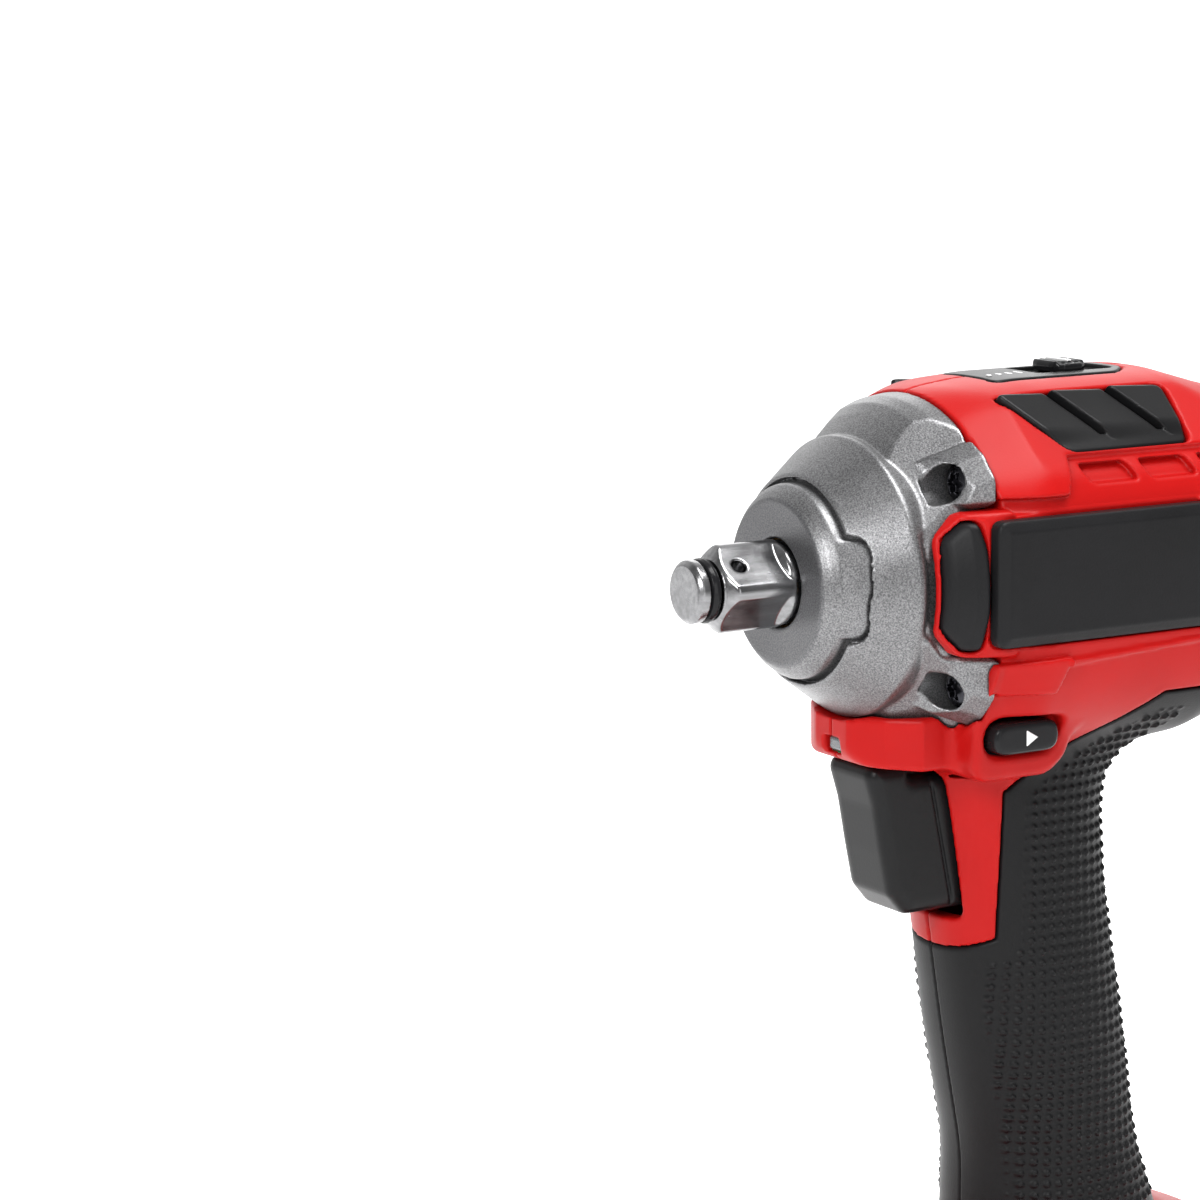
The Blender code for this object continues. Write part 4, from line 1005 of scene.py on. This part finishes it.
def make_materials():
    lens, _, glass = new_material("lens_clear", (0.30, 0.31, 0.33), 0.08)
    glass.inputs["Transmission Weight"].default_value = 0.6
    glass.inputs["IOR"].default_value = 1.58
    white, _, _ = new_material("mark_white", (0.78, 0.78, 0.78), 0.45)
    lengthwise = (0.12, 1.0, 1.0)
    wound = (8.0, 1.0, 1.0)
    return {
        "red": plastic("moulded_red", (0.42, 0.0040, 0.0035), (0.37, 0.0035, 0.003), 0.40, 0.16),
        "rubber": plastic("moulded_rubber", (0.0065, 0.0065, 0.007), (0.009, 0.009, 0.01), 0.45, 0.3, 2200.0),
        "grip": plastic("grip_rubber", (0.005, 0.005, 0.0055), (0.007, 0.007, 0.0075), 0.45, 0.25, 2400.0),
        "black": plastic("moulded_black", (0.006, 0.006, 0.0065), (0.009, 0.009, 0.0095), 0.32, 0.14),
        "gloss": plastic("smooth_black", (0.008, 0.008, 0.009), (0.012, 0.012, 0.013), 0.18, 0.05),
        "cast": cast_metal("blasted_cast", (0.11, 0.11, 0.113), (0.27, 0.27, 0.275), 0.36),
        "nose": cast_metal("nose_disc", (0.10, 0.10, 0.105), (0.20, 0.20, 0.205), 0.42),
        "drive": steel("drive_steel", (0.22, 0.22, 0.225), 0.20, lengthwise),
        "steel": steel("bright_steel", (0.55, 0.55, 0.56), 0.24),
        "dark": steel("dark_steel", (0.20, 0.20, 0.21), 0.30),
        "screw": steel("screw_black", (0.035, 0.035, 0.04), 0.26),
        "alloy": cast_metal("plain_alloy", (0.35, 0.35, 0.36), (0.55, 0.55, 0.56), 0.4),
        "bronze": steel("bush_bronze", (0.50, 0.31, 0.12), 0.32),
        "copper": steel("winding_copper", (0.60, 0.25, 0.10), 0.35, wound, 0.4),
        "board": plastic("board_green", (0.010, 0.10, 0.035), (0.015, 0.13, 0.05), 0.35, 0.1),
        "cell": plastic("cell_sleeve", (0.02, 0.14, 0.36), (0.03, 0.18, 0.42), 0.3, 0.05),
        "lens": lens,
        "white": white,
    }


# Pieces


def place_piece(mesh, body, material, replaced=()):
    """Makes an object of the mesh, with its finish, on its body and in place of its CAD nodes."""
    obj = bpy.data.objects.new(mesh.name, mesh)
    bpy.context.scene.collection.objects.link(obj)
    mesh.materials.clear()
    mesh.materials.append(material)
    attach(obj, body)
    if replaced:
        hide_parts(*replaced)
    return obj


def mirrored(mesh, name):
    """A copy of a left-hand mesh for the right-hand side."""
    copy = mesh.copy()
    copy.name = name
    copy.transform(Matrix.Scale(-1.0, 4, (0.0, 1.0, 0.0)))
    copy.flip_normals()
    copy.shade_smooth()
    return copy


def build(name, low, high, step, field, material, body="housing", replaced=()):
    """Samples one field over the box from low to high, and places its mesh."""
    space = Space(low, high, step)
    return place_piece(space.mesh(name, field(space)), body, material, replaced)


def build_pair(name, low, high, step, field, material, replaced):
    """A left-hand piece and its mirror image. {} in names takes the side."""
    space = Space(low, high, step)
    left = space.mesh(name.format("left"), field(space))
    right = mirrored(left, name.format("right"))
    for mesh, side in ((left, "left"), (right, "right")):
        place_piece(mesh, "housing", material, (replaced.format(side),))


def paint_disc(piece, finish):
    """Gives the smooth disc at the front of the case its own finish."""
    mesh = piece.data
    mesh.materials.append(finish)
    back = TIP + DISC_BACK * MM
    for face in mesh.polygons:
        centre = face.center
        radius = math.hypot(centre.y, centre.z - AXIS_Z)
        if centre.x < back and radius < DISC_RADIUS * MM:
            face.material_index = 1


def build_case_screws(material):
    """One screw, mirrored to the four corners of the case."""
    well = SCREW_WELL
    low = (43.3, SCREW_Y - well, SCREW_Z - well)
    high = (51.5, SCREW_Y + well, SCREW_Z + well)
    space = Space(low, high, 0.16)
    screw = space.mesh("case_screw", case_screw(space))
    shift = Matrix.Translation((0.0, 0.0, AXIS_Z))
    for side, y in (("left", -1), ("right", 1)):
        for level, z in (("lower", -1), ("upper", 1)):
            mesh = screw.copy()
            mesh.name = f"screw_{side}_{level}"
            turn = Matrix.Diagonal((1.0, y, z, 1.0))
            mesh.transform(shift @ turn @ shift.inverted())
            if y * z < 0:
                mesh.flip_normals()
            place_piece(mesh, "housing", material, (f"case_screw_{side}_{level}",))
    bpy.data.meshes.remove(screw)


def build_front(paints):
    case = build(
        "cast_case", (19.4, -34.8, -34.8), (SPIGOT_BACK, 34.8, 34.8), 0.36, hammer_case,
        paints["cast"], replaced=("hammer_case",),
    )
    paint_disc(case, paints["nose"])
    build(
        "square_drive", (0.0, -ARM_REACH, -ARM_REACH), (ARM_BACK, ARM_REACH, ARM_REACH), 0.24, anvil,
        paints["drive"], "anvil", ("anvil",),
    )
    build_case_screws(paints["screw"])
    build(
        "snap_ring", (2.3, -6.2, -6.2), (5.0, 6.2, 6.2), 0.12, snap_ring,
        paints["gloss"], "anvil", ("friction_ring",),
    )


def build_half(name, low, high, step, field, side, material, replaced):
    """One side of a casing, sampled from the middle plane to high, the right side's outer corner."""
    outer = side * high[1]
    space = Space((low[0], min(0.0, outer), low[2]), (high[0], max(0.0, outer), high[2]), step)
    mesh = space.mesh(name, half_of(field(space), space, side))
    place_piece(mesh, "housing", material, (replaced,))


def side_of_body(x, z):
    """How far out the housing's side is at a place on it."""
    space = Space((x, 5.0, z), (x, 40.0, z), 0.1 / COARSE)
    shape = (space.x.size, space.y.size, space.z.size)
    field = np.broadcast_to(body_outside(space), shape)
    column = field[space.x.size // 2, :, space.z.size // 2]
    return float(space.y.ravel()[np.argmax(column > 0.0)])


def build_housing_screws(material):
    """The screws that hold the housing together, sunk into its right side."""
    space = Space((-2.8, -1.3, -2.8), (2.8, 1.0, 2.8), 0.16)
    screw = space.mesh("housing_screw", housing_screw(space))
    for index, (x, z) in enumerate(HOUSING_SCREWS):
        mesh = screw.copy()
        mesh.name = f"shell_screw_{index + 1}"
        place = world(x, side_of_body(x, z) - HOUSING_SCREW_SINK, z) - world(0.0, 0.0, 0.0)
        mesh.transform(Matrix.Translation(place))
        place_piece(mesh, "housing", material)
    bpy.data.meshes.remove(screw)


def build_housing(paints):
    for name, side in (("left", -1.0), ("right", 1.0)):
        build_half(
            f"{name}_shell", (27.0, 0.0, -158.2), (133.5, 37.4, 36.4), 0.45, housing, side,
            paints["red"], f"{name}_housing",
        )
        build_half(
            f"{name}_rubber_grip", (49.0, 0.0, -131.0), (113.5, 36.0, -22.0), 0.36, grip, side,
            paints["grip"], f"{name}_grip",
        )
    build_pair(
        "{}_panel_inlay", (44.0, -36.0, -10.2), (96.4, -31.0, 13.6), 0.3, side_panel,
        paints["rubber"], "{}_side_panel",
    )
    build_pair(
        "{}_bumper_pad", (36.6, -35.4, -10.8), (44.4, -26.0, 13.2), 0.22, nose_bumper,
        paints["rubber"], "{}_nose_bumper",
    )
    build_pair(
        "{}_louvre_cover", (55.0, -32.4, 16.0), (95.0, -14.0, 36.0), 0.26, louvre,
        paints["black"], "{}_vent_louvre",
    )
    build(
        "rear_cap", (112.0, -31.6, -31.4), (COVER_BACK, 31.6, 31.4), 0.42, rear_cover,
        paints["rubber"], replaced=("rear_cover",),
    )
    build_housing_screws(paints["screw"])


def build_mark(name, outline, low, high, body, material):
    """A thin white mark with an outline seen from above."""
    xs, ys = zip(*outline)
    space = Space((min(xs), min(ys), low), (max(xs), max(ys), high), 0.1)
    field = both(polygon(outline, space.x, space.y), slab(space.z, low, high))
    place_piece(space.mesh(name, field), body, material)


def build_marks(material):
    """The slider's mark, the rising scale ahead of it, and the arrows on the selector's ends."""
    build_mark("slider_mark", SLIDER_MARK, 36.8, 37.25, "speed_slider", material)
    for index in range(4):
        x = TICK_X + TICK_SPACING * index
        height = 1.0 + 0.5 * index
        tick = rectangle((x, TICK_Y), (x + TICK_WIDTH, TICK_Y + height))
        build_mark(f"tick_{index + 1}", tick, 35.2, MARK_TOP, "housing", material)
    space = Space((55.6, -26.8, -30.8), (59.7, -26.3, -26.0), 0.1)
    arrow = both(polygon(ARROW, space.x, space.z), slab(space.y, -26.75, -26.4))
    left = space.mesh("arrow_left", arrow)
    for mesh in (left, mirrored(left, "arrow_right")):
        place_piece(mesh, "direction_selector", material)


def build_controls(paints):
    build(
        "mode_panel", (61.4, -9.2, 33.0), (94.6, 9.2, 35.8), 0.22, top_panel,
        paints["black"], replaced=("top_control_panel",),
    )
    build(
        "mode_slider", (79.0, -5.2, 34.6), (87.0, 5.2, 37.4), 0.18, speed_slider,
        paints["gloss"], "speed_slider", ("speed_slider",),
    )
    build(
        "reverse_button", (49.6, -26.8, -37.2), (64.2, 26.8, -25.2), 0.3, selector,
        paints["gloss"], "direction_selector", ("direction_selector",),
    )
    build(
        "finger_trigger", (34.8, -8.2, -64.2), (60.2, 8.2, -34.8), 0.3, trigger,
        paints["black"], "trigger", ("trigger",),
    )
    build(
        "lamp_lens", (31.6, -3.0, -33.1), (35.0, 3.0, -29.5), 0.2, lamp_lens,
        paints["lens"], replaced=("led_lens",),
    )
    build_marks(paints["white"])


def build_battery(paints):
    front, back, half = PACK_FRONT, PACK_BACK, PACK_HALF
    build(
        "pack_top", (front, -half, PACK_JOINT), (back, half, -149.4), 0.5, battery_top,
        paints["black"], "battery", ("battery_top_case",),
    )
    build(
        "pack_bottom", (front, -half, PACK_BOTTOM), (back, half, PACK_JOINT - 0.1), 0.5, battery_bottom,
        paints["black"], "battery", ("battery_bottom_case",),
    )
    build(
        "latch_button", (20.4, -15.2, -169.2), (25.2, 15.2, -154.8), 0.26, release_latch,
        paints["red"], "release_latch", ("release_latch",),
    )


def finish_cad_nodes(paints):
    """Materials for the CAD nodes that keep their own shape, by the record's material slots."""
    finishes = {
        "red_plastic": "red", "black_rubber": "rubber", "black_plastic": "black", "cast_alloy": "cast",
        "bright_steel": "steel", "dark_steel": "dark", "black_steel": "screw", "aluminium": "alloy",
        "bronze": "bronze", "copper_winding": "copper", "clear_lens": "lens", "circuit_board": "board",
        "cell_wrap": "cell",
    }
    for obj in frame["nodes"].values():
        slot_name = obj.material_slots[0].material.name.split(".")[0] if obj.material_slots else ""
        if slot_name not in finishes:
            continue
        for slot in obj.material_slots:
            slot.material = paints[finishes[slot_name]]


# Studio


def distance_back(tree, place, output):
    """How far a place or direction lies behind the tool, as seen from the front left."""
    settings = (("operation", "DOT_PRODUCT"), (1, BACKWARDS))
    return add_node(tree, "ShaderNodeVectorMath", settings, ((0, place, output),))


def build_stage():
    """A pale floor that glows behind the tool, where it meets the backdrop."""
    floor_material, tree, shader = new_material("studio_floor", (0.93, 0.93, 0.93), 0.7)
    place = object_place(tree)
    colour_by(tree, shader, noise(tree, place, 3.0), (0.92, 0.92, 0.92), (0.94, 0.94, 0.94))
    shader.inputs["Emission Color"].default_value = (*WHITE, 1.0)
    depth = distance_back(tree, place, "Object")
    glow = spread(tree, depth, "Value", FLOOR_SHADE, FLOOR_GLOW, from_low=-0.05, from_high=0.25)
    tree.links.new(glow.outputs[0], shader.inputs["Emission Strength"])
    mesh = bpy.data.meshes.new("floor")
    corners = rectangle((-FLOOR_HALF, -FLOOR_HALF), (FLOOR_HALF, FLOOR_HALF))
    mesh.from_pydata([(x, y, 0.0) for x, y in corners], [], [(0, 1, 2, 3)])
    mesh.materials.append(floor_material)
    floor = bpy.data.objects.new("floor", mesh)
    floor.location.z = -FLOOR_DROP
    bpy.context.scene.collection.objects.link(floor)


def add_light(name, place, width, height, power):
    light = bpy.data.lights.new(name, "AREA")
    light.shape = "RECTANGLE"
    light.size = width
    light.size_y = height
    light.energy = power
    obj = bpy.data.objects.new(name, light)
    obj.location = place
    obj.rotation_euler = (Vector(LIT_POINT) - Vector(place)).to_track_quat("-Z", "Y").to_euler()
    bpy.context.scene.collection.objects.link(obj)


def build_lights():
    """Soft area lights, and a room that is bright behind the tool and dim in front of it."""
    for light in LIGHTS:
        add_light(*light)
    environment = bpy.data.worlds.new("studio")
    bpy.context.scene.world = environment
    environment.use_nodes = True
    tree = environment.node_tree
    background = tree.nodes["Background"]
    background.inputs["Color"].default_value = (*WHITE, 1.0)
    depth = distance_back(tree, object_place(tree), "Generated")
    strength = spread(tree, depth, "Value", ROOM_LIGHT, BACKDROP_LIGHT, from_low=0.0, from_high=0.75)
    tree.links.new(strength.outputs[0], background.inputs["Strength"])


def build_camera():
    """Looks at the tool's left side from in front and a little above, through a long lens."""
    ca, sa = math.cos(CAMERA_AZIMUTH), math.sin(CAMERA_AZIMUTH)
    ce, se = math.cos(CAMERA_ELEVATION), math.sin(CAMERA_ELEVATION)
    back = Vector((sa * ce, -ca * ce, se))
    right = Vector((ca, sa, 0.0))
    rows = Matrix((right, back.cross(right), back))
    turn = Matrix.Rotation(CAMERA_ROLL, 3, "Z") @ rows
    place = -(turn.transposed() @ Vector(CAMERA_OFFSET))
    camera = bpy.data.cameras.new("camera")
    camera.lens = CAMERA_LENS
    camera.sensor_width = SENSOR
    camera.clip_start = 0.01
    obj = bpy.data.objects.new("camera", camera)
    obj.matrix_world = Matrix.Translation(world(*place)) @ turn.transposed().to_4x4()
    bpy.context.scene.collection.objects.link(obj)
    bpy.context.scene.camera = obj


def main():
    paints = make_materials()
    build_front(paints)
    build_housing(paints)
    build_controls(paints)
    build_battery(paints)
    finish_cad_nodes(paints)
    build_stage()
    build_lights()
    build_camera()
    bpy.context.scene.view_settings.view_transform = "Standard"


main()
